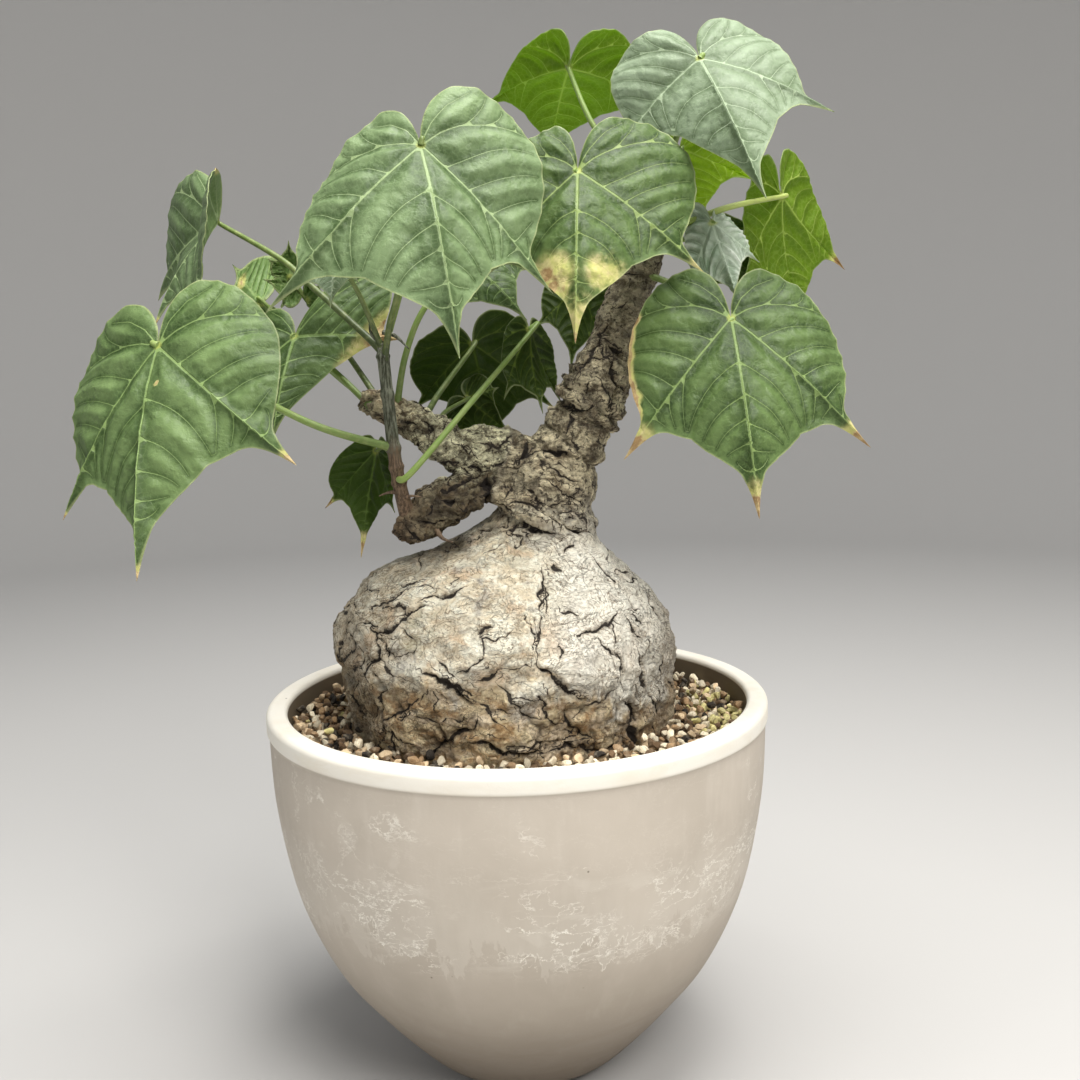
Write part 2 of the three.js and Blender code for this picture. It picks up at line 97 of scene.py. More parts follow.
def turned(name, profile, sides, wobble=None):
    """A body turned about the Z axis from (radius, height) points; radius 0 closes an end."""
    points, faces, rows = [], [], []
    for radius, height in profile:
        if radius == 0:
            rows.append([len(points)] * sides)
            points.append((0, 0, height))
            continue
        rows.append(list(range(len(points), len(points) + sides)))
        for i in range(sides):
            turn = 2 * math.pi * i / sides
            r = radius + (wobble(turn, height) if wobble else 0)
            points.append((r * math.cos(turn), r * math.sin(turn), height))
    for low, high in zip(rows, rows[1:]):
        for i in range(sides):
            j = (i + 1) % sides
            faces.append(tuple(dict.fromkeys((low[i], low[j], high[j], high[i]))))
    return make_mesh(name, points, faces)


def rounded(start, reach, first, last, steps):
    """Points (radius, height) of a quarter round about start, between two turns."""
    turns = np.linspace(first, last, steps)
    return [(start[0] + reach[0] * math.cos(a), start[1] + reach[1] * math.sin(a)) for a in turns]


class Wire:
    """An output of a shader node. Sums, products and quotients of wires are Math nodes."""

    def __init__(self, socket):
        self.socket = socket

    def other(self, name):
        """Another output of the same node."""
        return Wire(self.socket.node.outputs[name])

    def __add__(self, more):
        return calculate("ADD", self, more)

    def __radd__(self, more):
        return calculate("ADD", more, self)

    def __sub__(self, less):
        return calculate("SUBTRACT", self, less)

    def __mul__(self, times):
        return calculate("MULTIPLY", self, times)

    def __truediv__(self, part):
        return calculate("DIVIDE", self, part)

    def __abs__(self):
        return calculate("ABSOLUTE", self)


def connect(value, socket):
    """Joins a wire to a socket, or sets the socket to a number, vector or colour."""
    if isinstance(value, Wire):
        tree.links.new(value.socket, socket)
    elif isinstance(value, tuple) and len(socket.default_value) == 4:
        socket.default_value = (*value, 1)
    else:
        socket.default_value = value


def add_node(kind, inputs, output=0, **settings):
    """Adds a node to the tree in hand, connects its inputs, and gives the wire of one output."""
    made = tree.nodes.new("ShaderNode" + kind)
    for key, value in settings.items():
        setattr(made, key, value)
    for key, value in inputs.items():
        connect(value, made.inputs[key])
    return Wire(made.outputs[output])


def calculate(operation, first, second=0.0):
    return add_node("Math", {0: first, 1: second}, operation=operation)


def larger(first, second):
    return calculate("MAXIMUM", first, second)


def mix(factor, first, second, blend="MIX"):
    """First colour where the factor is 0, second where it is 1."""
    inputs = {0: factor, 6: first, 7: second}
    return add_node("Mix", inputs, 2, data_type="RGBA", blend_type=blend)


def between(value, low, high, to_low=0.0, to_high=1.0):
    """Value moved smoothly from the range low..high to to_low..to_high, and held there."""
    inputs = {"Value": value, "From Min": low, "From Max": high,
              "To Min": to_low, "To Max": to_high}
    return add_node("MapRange", inputs, interpolation_type="SMOOTHSTEP")


def noisy(place, scale, detail=4.0, rough=0.55, warp=0.0):
    inputs = {"Vector": place, "Scale": scale, "Detail": detail,
              "Roughness": rough, "Distortion": warp}
    return add_node("TexNoise", inputs)


def stretched(place, x, y, z):
    return add_node("VectorMath", {0: place, 1: (x, y, z)}, operation="MULTIPLY")


def read(mark, output="Fac"):
    """A value or colour that the mesh keeps for each of its points."""
    return add_node("Attribute", {}, output, attribute_name=mark)


def new_material(name):
    """A material, its tree, its shader and the wire of the place on the object."""
    made = bpy.data.materials.new(name)
    made.use_nodes = True
    nodes = made.node_tree.nodes
    place = Wire(nodes.new("ShaderNodeTexCoord").outputs["Object"])
    return made, made.node_tree, nodes["Principled BSDF"], place


def cover(shader, colour, roughness, height, strength, depth):
    """Gives a shader its colour, its roughness and a bump of that strength and depth in metres."""
    bump = {"Height": height, "Strength": strength, "Distance": depth}
    connect(colour, shader.inputs["Base Color"])
    connect(roughness, shader.inputs["Roughness"])
    connect(add_node("Bump", bump), shader.inputs["Normal"])


floor_edge = (FLOOR_FLAT_RADIUS, FLOOR_SWEEP_RADIUS)
sweep = rounded(floor_edge, (FLOOR_SWEEP_RADIUS,) * 2, -math.pi / 2, 0, 24)
wall_top = (FLOOR_FLAT_RADIUS + FLOOR_SWEEP_RADIUS, WALL_HEIGHT)
floor = turned("floor", [(0, 0), (0.4, 0), (0.9, 0), *sweep, wall_top], 96)
floor_paint, tree, shader, _ = new_material("floor_paint")
mottle = add_node("TexNoise", {"Scale": 1.5, "Detail": 3.0})
connect(mix(mottle, (0.52, 0.51, 0.495), (0.56, 0.55, 0.535)), shader.inputs["Base Color"])
shader.inputs["Roughness"].default_value = 0.9
floor.data.materials.append(floor_paint)


def softbox(name, at, towards, width, watts, tint):
    lamp = bpy.data.lights.new(name, "AREA")
    lamp.shape = "SQUARE"
    lamp.size, lamp.energy, lamp.color = width, watts, tint
    made = bpy.data.objects.new(name, lamp)
    made.location = at
    made.rotation_mode = "QUATERNION"
    made.rotation_quaternion = (Vector(towards) - Vector(at)).to_track_quat("-Z", "Y")
    scene.collection.objects.link(made)


softbox("overhead", (0.15, -0.15, 1.5), (0, 0, 0.3), 0.8, 24, (1, 0.985, 0.955))
softbox("front_right", (0.6, -1.25, 1.5), (0, 0, 0.25), 0.8, 26, (1, 0.98, 0.95))
softbox("front_left", (-1.2, -0.9, 0.9), (0, 0, 0.3), 0.9, 3, (0.94, 0.97, 1))
scene.world = bpy.data.worlds.new("sky")
scene.world.use_nodes = True
sky = scene.world.node_tree.nodes["Background"]
sky.inputs["Color"].default_value = (0.93, 0.96, 1, 1)
sky.inputs["Strength"].default_value = 0.28
scene.view_settings.view_transform = "Standard"

# Pot
# A round-bellied pot of matte, warm grey fibre clay on a small foot with three drain holes.
# Its proud lip is cream and smoothly rounded, and lime has bloomed in pale wisps on its belly.
POT_RADIUS = 124.9
POT_HEIGHT = 190.0
MOUTH_RADIUS = 114.6
LIP_HEIGHT = 9.0
POT_WALL = 8.0
POT_FLOOR = 12.0
FOOT_RADIUS = 40.0
DRAIN_RADIUS = 5.0
DRAIN_CIRCLE = 22.0
POT_SIDES = 200
BELLY = [
    (43.5, 0.8), (54, 8), (69, 24), (83, 41), (97, 60),
    (109, 85), (116.6, 110), (122.4, 146), (123.8, 180),
]
CLAY = (0.565, 0.5, 0.42)
CLAY_DAMP = (0.5, 0.44, 0.365)
CLAY_INSIDE_STAIN_AND_SHADE = (0.15, 0.115, 0.07)
LIP_CREAM = (0.88, 0.84, 0.75)
LIME = (0.9, 0.86, 0.77)


def smooth_curve(points, steps):
    """A uniform Catmull-Rom curve through the points."""
    spots = np.array(points, float)
    ends = [spots[0], *spots, spots[-1]]
    made = []
    for k in range(steps + 1):
        place = k / steps * (len(spots) - 1)
        i = min(int(place), len(spots) - 2)
        t = place - i
        a, b, c, d = ends[i:i + 4]
        bend = (c - a) / 2, (d - b) / 2
        made.append(
            (2 * b - 2 * c + bend[0] + bend[1]) * t**3
            + (3 * c - 3 * b - 2 * bend[0] - bend[1]) * t**2
            + bend[0] * t + b
        )
    return np.array(made)


def mark(mesh, name, values, kind="FLOAT", field="value"):
    """Keeps a value, vector or colour for each point of a mesh, for its material to read."""
    mesh.attributes.new(name, kind, "POINT").data.foreach_set(field, np.ravel(values))


def as_shown(thing):
    """The mesh of an object with its modifiers applied."""
    return bpy.data.meshes.new_from_object(
        thing.evaluated_get(bpy.context.evaluated_depsgraph_get()))


belly = smooth_curve(BELLY, 90)
lip_foot = POT_HEIGHT - LIP_HEIGHT
outer_round = rounded((POT_RADIUS - 3.4, POT_HEIGHT - 3), (3.4, 3), 0, math.pi / 2, 8)
inner_round = rounded(
    (MOUTH_RADIUS + 2.2, POT_HEIGHT - 2.4), (2.2, 2.4), math.pi / 2, math.pi, 7)
inside = [
    (min(radius - POT_WALL, MOUTH_RADIUS), height)
    for radius, height in belly[::-1]
    if POT_FLOOR + 8 < height < lip_foot - 4
]
pot_profile = [
    (0, 0), (20, 0), (FOOT_RADIUS - 0.6, 0), (FOOT_RADIUS, 0.05), *belly,
    (124.2, lip_foot - 0.5), (POT_RADIUS - 0.1, lip_foot + 0.2), (POT_RADIUS, lip_foot + 1.2),
    (POT_RADIUS, POT_HEIGHT - 5), *outer_round, *inner_round,
    (MOUTH_RADIUS, POT_HEIGHT - 3.2), *inside,
    (60, POT_FLOOR + 6), (36, POT_FLOOR), (0, POT_FLOOR),
]


def hand_made(turn, height):
    """The small unevenness of a wall that was pressed into a mould."""
    place = Vector((2 * math.cos(turn), 2 * math.sin(turn), 14 * height))
    return 0.1 * MM * (noise.noise(place) - 1)


pot = turned("pot_body", [(r * MM, z * MM) for r, z in pot_profile], POT_SIDES, hand_made)
drain = [(0, -0.01), (DRAIN_RADIUS * MM, -0.01), (DRAIN_RADIUS * MM, 0.03), (0, 0.03)]
for i in range(3):
    turn = math.pi / 6 + 2 * math.pi * i / 3
    bore = turned("drain_bore", drain, 32)
    bore.data.transform(Matrix.Translation(
        (DRAIN_CIRCLE * MM * math.cos(turn), DRAIN_CIRCLE * MM * math.sin(turn), 0)))
    cut = pot.modifiers.new("drain", "BOOLEAN")
    cut.operation, cut.solver, cut.object = "DIFFERENCE", "EXACT", bore
    drilled = as_shown(pot)
    pot.modifiers.remove(cut)
    pot.data = drilled
    bpy.data.objects.remove(bore)
places = np.array([v.co[:] for v in pot.data.vertices]) / MM
outer_radius = np.interp(places[:, 2], belly[:, 1], belly[:, 0])
within = np.hypot(places[:, 0], places[:, 1]) < outer_radius - 3
within &= (places[:, 2] > 6) & (places[:, 2] < 187)
mark(pot.data, "pot_inside", within.astype(float))


def new_group(name, inputs, outputs):
    """A shader node group, the wires of its inputs by name, and the sockets that it puts out."""
    made = bpy.data.node_groups.new(name, "ShaderNodeTree")
    for label, (kind, *value) in inputs.items():
        socket = made.interface.new_socket(label, in_out="INPUT", socket_type="NodeSocket" + kind)
        if value:
            socket.default_value = value[0]
    for label, kind in outputs.items():
        made.interface.new_socket(label, in_out="OUTPUT", socket_type="NodeSocket" + kind)
    given = {s.name: Wire(s) for s in made.nodes.new("NodeGroupInput").outputs if s.name}
    return made, given, made.nodes.new("NodeGroupOutput").inputs


# Thin wandering lines where a warped noise field crosses its middle value.
wisps, given, put_out = new_group(
    "wisps", {"Vector": ["Vector"], "Scale": ["Float", 40.0], "Thinness": ["Float", 0.02],
              "Warp": ["Float", 1.0]}, {"Mask": "Float"})
tree = wisps
cloud = noisy(given["Vector"], given["Scale"], 7.0, 0.66, given["Warp"])
connect(between(abs(cloud - 0.5), 0.0, given["Thinness"], 1.0, 0.0), put_out["Mask"])

pot_clay, tree, shader, spot = new_material("pot_clay")
height = add_node("SeparateXYZ", {0: spot}, "Z")
clay = mix(between(noisy(spot, 14, 4, 0.6), 0.35, 0.65), CLAY, CLAY_DAMP)
smear = noisy(stretched(spot, 1, 1, 3.2), 26, 5, 0.65, 0.6)
runs = noisy(stretched(spot, 4.2, 4.2, 0.8), 24, 4, 0.6)
clay = mix(between(runs, 0.5, 0.75, 0, 0.3), clay, (0.66, 0.6, 0.52))
# Painted shade: the clay darkens towards the foot of the pot.
clay = mix(between(height, 0, 0.125, 1, 0), clay, (0.2, 0.16, 0.118))
# The lime ran down and dried: a film with a ragged lower edge, a bright line along that edge,
# and crackly lines where older films ended above it.
columns = noisy(stretched(spot, 1, 1, 0.12), 105, 5, 0.6)
above_edge = height - (0.068 + columns * 0.07)
film = between(above_edge, -0.001, 0.001, 0, 0.16) * between(above_edge, 0.002, 0.045, 1, 0.2)
patches = noisy(spot, 24, 3, 0.5)
tide = between(abs(above_edge), 0, 0.0014, 0.9, 0) * between(patches, 0.4, 0.58)
crackly, fine = [
    add_node("Group", {"Vector": stretched(spot, 1, 1, tall), "Scale": scale, "Thinness": thin,
                       "Warp": warp}, node_tree=wisps)
    for tall, scale, thin, warp in ((2, 19, 0.014, 0.25), (1.3, 46, 0.018, 0.3))
]
band = between(height, 0.09, 0.105) * between(height, 0.128, 0.15, 1, 0.12)
spots_above = between(noisy(spot, 33, 2), 0.58, 0.64, 0, 0.7)
band = larger(band, spots_above * between(height, 0.11, 0.13))
frost = larger(crackly, fine * 0.7) * band * between(patches, 0.36, 0.5, 0.15, 1)
frost = larger(frost, tide) * between(noisy(spot, 260, 5, 0.75), 0.36, 0.58, 0.35, 1)
veil = band * between(smear, 0.45, 0.66, 0, 0.25)
limed = mix(larger(larger(veil, film), frost), clay, LIME)
# Inside the pot the wall is dark: partly a stain and partly painted shade.
stain_and_shade = mix(noisy(spot, 60, 5), CLAY_INSIDE_STAIN_AND_SHADE, (0.19, 0.15, 0.1))
cream = mix(between(smear, 0.4, 0.75, 0, 0.7), LIP_CREAM, (0.8, 0.73, 0.6))
glaze = mix(between(height, 0.1803, 0.1818), limed, cream)
# Small pits in the clay, painted dark as shade inside them.
specks = add_node("TexVoronoi", {"Vector": spot, "Scale": 90}, "Distance")
pits = between(specks, 0.03, 0.07, 0.75, 0) * between(noisy(spot, 31, 1), 0.6, 0.64)
colour = mix(pits, mix(read("pot_inside"), glaze, stain_and_shade), (0.12, 0.095, 0.065))
relief = noisy(spot, 520, 3, 0.6) * 0.25 + frost - pits
cover(shader, colour, between(smear, 0.3, 0.7, 0.62, 0.8), relief, 0.25, 0.0006)
pot.data.materials.clear()
pot.data.materials.append(pot_clay)
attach(pot, "root")
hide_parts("pot")

# Gravel
# Loose pumice, baked clay and dark lava grit, four to seven millimetres across, heaped on a
# bed that fills the pot round the caudex. Grains near the right wall are tinged yellow.
GRAVEL_BED = 171.5
GRAIN_COUNT = 2250
GRAIN_RADII = (1.5, 3.0)
CAUDEX_AT_GRAVEL = (-2.5, -2.0, 77.5)
PEBBLE_KINDS = 14
TRIES = 14
GRAIN_COLOURS = {
    "pumice": (1.0, 0.9, 0.68), "sand": (0.84, 0.65, 0.42), "clay": (0.45, 0.3, 0.165),
    "loam": (0.17, 0.105, 0.055), "lava": (0.04, 0.032, 0.024), "tinged": (0.86, 0.79, 0.36),
}
GRAIN_SHARES = {"pumice": 0.36, "sand": 0.2, "clay": 0.13, "loam": 0.17, "lava": 0.14}
rng = random.Random(11)

bed_wall = [(r - 0.6, z) for r, z in inside[::-1] if z < GRAVEL_BED - 2]
bed_profile = [(0, POT_FLOOR + 0.3), (35.4, POT_FLOOR + 0.3), *bed_wall,
               (MOUTH_RADIUS - 0.9, GRAVEL_BED), (0, GRAVEL_BED)]
gravel_bed = turned("gravel_bed", [(r * MM, z * MM) for r, z in bed_profile], 72)

bpy.ops.mesh.primitive_ico_sphere_add(subdivisions=2, radius=1)
ball = bpy.context.object
ball_points = np.array([v.co[:] for v in ball.data.vertices])
ball_faces = np.array([p.vertices[:] for p in ball.data.polygons])
bpy.data.objects.remove(ball)
pebbles = []
for _ in range(PEBBLE_KINDS):
    squash = np.array([1.12, rng.uniform(0.78, 1), rng.uniform(0.66, 0.9)])
    pebble = ball_points
    for _ in range(11):
        face = Vector([rng.gauss(0, 1) for _ in range(3)]).normalized()
        proud = np.maximum(pebble @ np.array(face) - rng.uniform(0.48, 0.8), 0)
        pebble = pebble - np.outer(proud, face)
    pebbles.append(pebble * squash)

laid = np.zeros((GRAIN_COUNT, 4))
centre_x, centre_y, caudex_radius = CAUDEX_AT_GRAVEL
for k in range(GRAIN_COUNT):
    size = rng.uniform(*GRAIN_RADII)
    best = None
    for _ in range(TRIES):
        turn = rng.uniform(0, 2 * math.pi)
        out = math.sqrt(rng.uniform(74**2, (MOUTH_RADIUS - size - 0.3) ** 2))
        x, y = out * math.cos(turn), out * math.sin(turn)
        if math.hypot(x - centre_x, y - centre_y) < caudex_radius + 0.4 * size:
            continue
        near = laid[:k]
        gap = np.hypot(near[:, 0] - x, near[:, 1] - y)
        reach = near[:, 3] + size
        touching = gap < reach
        tops = near[touching, 2] + 0.8 * np.sqrt(reach[touching] ** 2 - gap[touching] ** 2)
        z = max(GRAVEL_BED + 0.5 * size, tops.max() if touching.any() else 0)
        if best is None or z < best[2]:
            best = (x, y, z, size)
    laid[k] = best if best else (100, 0, GRAVEL_BED, size)

grain_points, grain_faces, grain_tints = [], [], []
for k, (x, y, z, size) in enumerate(laid):
    spin = Matrix.Rotation(rng.uniform(0, 6.3), 3, Vector([rng.gauss(0, 1) for _ in range(3)]))
    grain_points.append((pebbles[k % PEBBLE_KINDS] * size) @ np.array(spin).T + (x, y, z))
    grain_faces.append(ball_faces + len(ball_points) * k)
    kind = rng.choices(list(GRAIN_SHARES), list(GRAIN_SHARES.values()))[0]
    by_right_wall = x > 86 and abs(y + 8) < 38
    if (by_right_wall and rng.random() < 0.33) or rng.random() < 0.012:
        kind = "tinged"
    if x < -70 and kind == "pumice" and rng.random() < 0.4:
        kind = "clay"
    shade = rng.uniform(0.6, 1.12)
    tint = [*(c * shade for c in GRAIN_COLOURS[kind]), 1]
    grain_tints.append(np.tile(tint, (len(ball_points), 1)))
gravel = make_mesh("gravel_grains", np.concatenate(grain_points) * MM, np.concatenate(grain_faces))
gravel.data.set_sharp_from_angle(angle=math.radians(32))
mark(gravel.data, "grain_tint", np.concatenate(grain_tints), "FLOAT_COLOR", "color")

grit_stone, tree, shader, spot = new_material("grit_stone")
pores = add_node("TexVoronoi", {"Vector": spot, "Scale": 1500}, "Distance")
rough_face = noisy(spot, 900, 4, 0.65)
worn = mix(between(rough_face, 0.3, 0.7, 0, 0.45), read("grain_tint", "Color"),
           (0.55, 0.45, 0.33), "MULTIPLY")
dusted = mix(between(noisy(spot, 300), 0.5, 0.7, 0, 0.35), worn, (0.5, 0.42, 0.3))
cover(shader, dusted, 0.92, rough_face + pores * 0.6, 0.6, 0.0005)
gravel.data.materials.append(grit_stone)

fine_soil, tree, shader, spot = new_material("fine_soil")
crumbs = noisy(spot, 500, 5, 0.7)
soil = mix(crumbs, (0.035, 0.024, 0.014), (0.13, 0.085, 0.045))
cover(shader, soil, 0.95, crumbs, 0.8, 0.001)
gravel_bed.data.materials.append(fine_soil)
for piece in (gravel, gravel_bed):
    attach(piece, "root")
    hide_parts("gravel")

# Caudex, trunk, branch and stub
# One body of wood: a swollen caudex in the gravel narrows into a leaning trunk ringed where
# old leaves fell, with a gnarled branch and a curled stub on its left. The bark is pale and
# flaking above, brown and deeply cracked below.
CAUDEX_LEVELS = [
    (132, -2, 20), (140, -3, 50), (154, -3, 68), (170, -2, 76), (186, -3, 80),
    (202, -4, 82.5), (218, -6, 83.5), (230, -7, 81.5), (240, -8, 76), (249, -7, 67),
    (256, -4, 57), (262, 0, 48), (268, 6, 37), (277, 12, 27), (284, 14, 22),
]
TRUNK = [
    (11, -2, 262, 30), (14, -2, 276, 25), (16, -2, 290, 24), (21, -2, 302, 21.5),
    (28, -2, 314, 18), (35, -2, 326, 15), (41, -2, 339, 16.5), (44, -2, 346, 15),
    (49, -1, 362, 11.5), (56, -1, 380, 10), (64, 0, 398, 9.5), (70, 0, 412, 8.5),
    (74, 2, 422, 4.5),
]
BRANCH = [
    (16, -3, 300, 16), (0, -5, 308, 14), (-13, -6, 312, 12.5), (-26, -7, 314, 11.5),
    (-36, -8, 321, 10), (-46, -9, 328, 8.5), (-57, -9, 334, 8), (-67, -9, 338, 6.5),
    (-72, -9, 339, 4),
]
STUB = [
    (0, -8, 300, 9), (-14, -12, 297, 10), (-27, -15, 292, 11.5), (-40, -17, 284, 10.5),
    (-49, -18, 277, 9), (-53, -18, 272, 5),
]
KNOB = [(-4, -14, 292, 6), (-7, -20, 294, 5.5), (-9, -24, 293, 3)]
ROLLS = [
    [(-4, -14, 288, 2.5), (1, -21, 287, 3.8), (8, -25.5, 284, 4.6), (15, -27.5, 280.5, 4.6),
     (21, -25.5, 276.5, 3.8), (25, -22, 274, 2.5)],
    [(22, -25, 284, 2.2), (27.5, -24.5, 281.5, 3.8), (32, -21, 279.5, 3.8), (37, -14, 278, 3),
     (40, -6, 277, 2)],
    [(24, -7, 341, 1.5), (28, -13.5, 338.5, 3), (33, -16, 336.5, 3.3), (39, -16.2, 336, 3.3),
     (45, -13, 337.5, 2.6), (50, -8, 340, 1.5)],
    [(13, -8, 319, 1.5), (19, -15, 317, 3.2), (26.5, -18.5, 314.8, 3.6), (33, -17.5, 312.3, 3.4),
     (38, -13, 311, 2)],
    [(27, -8, 349, 1.2), (31, -14, 346.5, 2.4), (36, -15.5, 345.5, 2.4), (42, -14, 346, 1.5)],
]
CAUDEX_FLATTEN = 0.98
CRACK_COUNT = 290
# In millimetres: how far a crack wanders, how far round it the bark is worked, its narrowest
# cleft, and how wide the bark stands proud above it.
CRACK_WANDER = 1.7
CRACK_REACH = 9
NARROWEST_CLEFT = 0.9
PROUD_WIDTH = 3.5
BARK_GRAIN = 1.0
BARK_TRIANGLES = 195000
# Cracks noted on three enlarged pieces of the photograph: where each piece starts in it,
# how much it is enlarged, and a line for each crack with its depth, its width, then x and y in
# the piece's pixels by turns.
NOTED_CRACKS = {
    (330, 520, 5.058): """
2.4 .55 1072 250 1075 300 1065 360 1060 420 1062 470
1.6 .4 1080 310 1092 380 1098 440 1100 475
.9 .3 1062 470 1062 560 1055 620 1045 680 1040 715
2.6 .7 1040 715 1065 745 1100 780 1150 820 1200 865 1245 895 1285 910
1.6 .4 1150 830 1190 845 1230 865 1300 880
1.2 .4 470 405 520 390 560 380
2.4 .7 540 385 600 385 630 370 650 362
.8 .3 650 362 690 345
.9 .35 330 375 380 355 450 345 500 340 530 355 545 385
.7 .3 385 315 430 308 470 312
.8 .35 190 435 240 430 290 435 340 432 390 435
2.6 .8 235 585 280 560 320 545 350 515
2.0 .6 350 515 375 485 410 460 450 445 490 440
1.0 .35 350 540 380 565 410 590 445 610
2.0 .8 165 520 200 517 240 535
2.2 .7 245 600 235 640 235 690 215 715 185 720
2.2 .7 230 780 260 800 265 850 262 920 272 980 290 1000
1.4 .5 290 1000 340 985 380 960 400 930 440 915
1.4 .5 288 1005 300 1050 290 1100
3.6 1.5 490 775 530 800 570 815 610 850 650 880 700 915
1.6 .5 600 820 650 845 690 870 720 885
.9 .35 535 700 570 735 610 770 640 800
1.3 .4 640 780 700 755 740 722 768 690
.8 .3 768 690 778 650 770 610 757 578
1.7 .5 757 578 785 555 815 545
1.0 .35 760 580 778 605 830 612 860 592 890 580 918 565
1.8 .6 745 808 790 805 820 800 838 770 855 745
1.1 .35 855 745 900 752 950 748 985 725 1015 740
1.5 .4 850 840 880 870 920 910 960 945 970 978 1010 995 1065 1005
1.2 .5 845 962 885 965 925 970
2.2 .8 500 1210 508 1180 545 1160 590 1130 620 1105 650 1080 700 1072 728 1048 742 1020
2.6 .9 700 1128 760 1120 830 1145 880 1178 930 1180 980 1190 1040 1180 1100 1175
2.6 .9 1100 1175 1160 1165 1200 1150 1270 1150 1330 1170 1400 1180 1460 1160 1530 1145
1.5 .5 900 1142 960 1135 1020 1145 1060 1130 1130 1130 1200 1115 1270 1095
1.8 .55 1190 960 1195 1000 1215 1035 1260 1070 1280 1090 1330 1110 1370 1135
1.0 .35 530 870 540 920 522 970
1.0 .4 495 860 470 900 450 915
1.6 .6 160 880 175 960 195 1030 222 1090
1.6 .6 205 900 235 990 255 1060 270 1130
1.2 .5 330 1040 340 1120 352 1190
.8 .3 920 72 970 75 966 110 935 140 922 110 920 74
1.2 .6 1120 222 1142 250 1172 262
.7 .3 905 905 960 890 1010 905 1050 895
.7 .3 980 500 1010 545 1030 600 1025 650
.7 .3 600 345 620 308 660 290
.8 .3 790 170 850 140 880 120
.7 .3 1150 640 1165 680 1160 712
1.2 .5 80 570 100 600 130 640
1.2 .5 100 740 150 762 190 790
.9 .4 140 640 160 690 150 740
1.0 .4 560 1010 600 1000 650 1015 690 990
.9 .35 760 930 800 950 830 1000 880 1040
""",
    (590, 530, 6.271): """
2.2 .6 130 570 150 640 165 700 165 760 195 810 200 880 195 950 205 1000
1.3 .5 235 460 250 490 278 505
1.6 .5 245 580 280 630 315 675
1.0 .4 255 530 285 570 310 600
1.4 .45 350 690 355 740 345 790
4.6 1.7 330 800 345 850 352 900 365 960 372 1010
5.0 2.2 250 1095 290 1110 300 1140 295 1190 278 1250 285 1310 308 1360
1.6 .5 320 350 360 420 370 480 420 540 445 600 455 680
1.8 .6 455 760 470 850 480 930 478 1010
1.2 .45 385 1010 405 1100 372 1200 365 1300
1.0 .5 0 180 60 240 110 300 160 350 190 390
1.6 .6 435 1000 430 1090 440 1180 430 1270
""",
    (380, 360, 5.6): """
3.0 1.2 1015 250 1060 268 1110 278 1160 272 1195 250
1.6 .7 1035 150 1060 170 1110 185 1150 190
2.6 1.0 900 490 950 512 1000 530 1060 545 1110 552
1.8 .6 1078 285 1068 330 1052 370 1045 410
2.4 .8 1300 -40 1300 30 1290 60 1310 110 1332 150 1300 220 1280 262
1.6 .6 1265 -200 1230 -120 1185 -40 1140 40 1115 100
3.4 1.6 1275 -85 1320 -50 1365 -40
1.6 .7 1332 140 1370 172 1395 185
3.2 1.2 822 465 815 500 792 540 768 585
1.8 1.2 895 560 912 600
1.3 .5 940 680 1000 720 1060 760 1125 800
1.2 .5 960 600 1010 640 1060 660 1110 690
1.8 1.1 870 770 888 795
1.4 .9 830 715 850 745
1.6 .7 715 810 760 795 850 815 940 865 1010 925
2.2 1.0 715 850 760 885 830 925 910 955 990 975
1.6 .7 1020 850 1080 850 1150 880
2.2 .9 1030 940 1090 955 1150 955
2.0 1.1 1050 885 1075 895
4.5 2.0 605 640 592 700 600 780 612 850
2.2 .8 320 580 380 572 440 582
2.4 .9 375 600 385 650 378 700
2.6 1.0 340 740 420 700 500 660 580 620
1.6 .5 450 460 478 510 500 545
2.0 .8 510 600 560 603 610 612
2.2 .9 640 610 660 585 690 560
1.6 .6 240 330 280 370 300 400
1.6 .6 130 340 180 350 220 370
2.8 1.2 350 790 390 805 410 790
2.8 1.1 470 850 510 810 560 780
2.0 .8 300 780 290 830 260 870
1.8 .7 230 900 300 930 360 900
1.8 .7 130 930 180 980 220 1000
2.0 .8 430 900 480 880 530 840
""",
}
# Cracks on the back of the caudex: (depth, width), then (degrees round, height) along each.
BACK_CRACKS = [
    ((3.4, 1.2), [(205, 238), (203, 222), (206, 205), (210, 190), (212, 176)]),
    ((2.0, 0.8), [(192, 244), (190, 226), (193, 208), (198, 188)]),
    ((2.6, 1.0), [(350, 240), (349, 220), (346, 200), (350, 182)]),
    ((2.8, 1.0), [(20, 246), (26, 228), (22, 206), (30, 180)]),
    ((3.4, 1.2), [(52, 250), (58, 236), (54, 216), (62, 200), (58, 178)]),
    ((2.4, 0.8), [(84, 240), (96, 232), (104, 216), (100, 198), (108, 182)]),
    ((3.0, 1.0), [(128, 252), (134, 232), (130, 212), (140, 190)]),
    ((2.6, 0.9), [(158, 246), (164, 228), (160, 206), (168, 184)]),
]
# Rings round the trunk: (height of its middle line, how proud, how wide).
TRUNK_RINGS = [
    (273, 1.0, 2.0), (293, 1.2, 1.8), (298, 0.8, 2.0), (318, 2.4, 2.4),
    (312.5, -2.6, 1.3), (336, 3.0, 1.7), (331.6, -2.8, 1.2), (342, 2.4, 1.6), (339, -1.6, 0.9),
    (352, 1.0, 1.8), (371, 1.1, 2.0),
    (366, -0.8, 1.2), (388, 0.8, 2.0), (401, 0.8, 1.8), (396, -0.7, 1.0),
]

def lofted(rings):
    """Points and faces of a closed skin over rings of equal count."""
    count = len(rings[0])
    points = np.concatenate([*rings, [rings[0].mean(0)], [rings[-1].mean(0)]])
    sides = [(i, (i + 1) % count) for i in range(count)]
    first = len(rings) * count
    last = first - count
    faces = [(low + i, low + j, low + j + count, low + i + count)
             for low in range(0, last, count) for i, j in sides]
    for i, j in sides:
        faces += [(first, j, i), (first + 1, last + i, last + j)]
    return points, faces


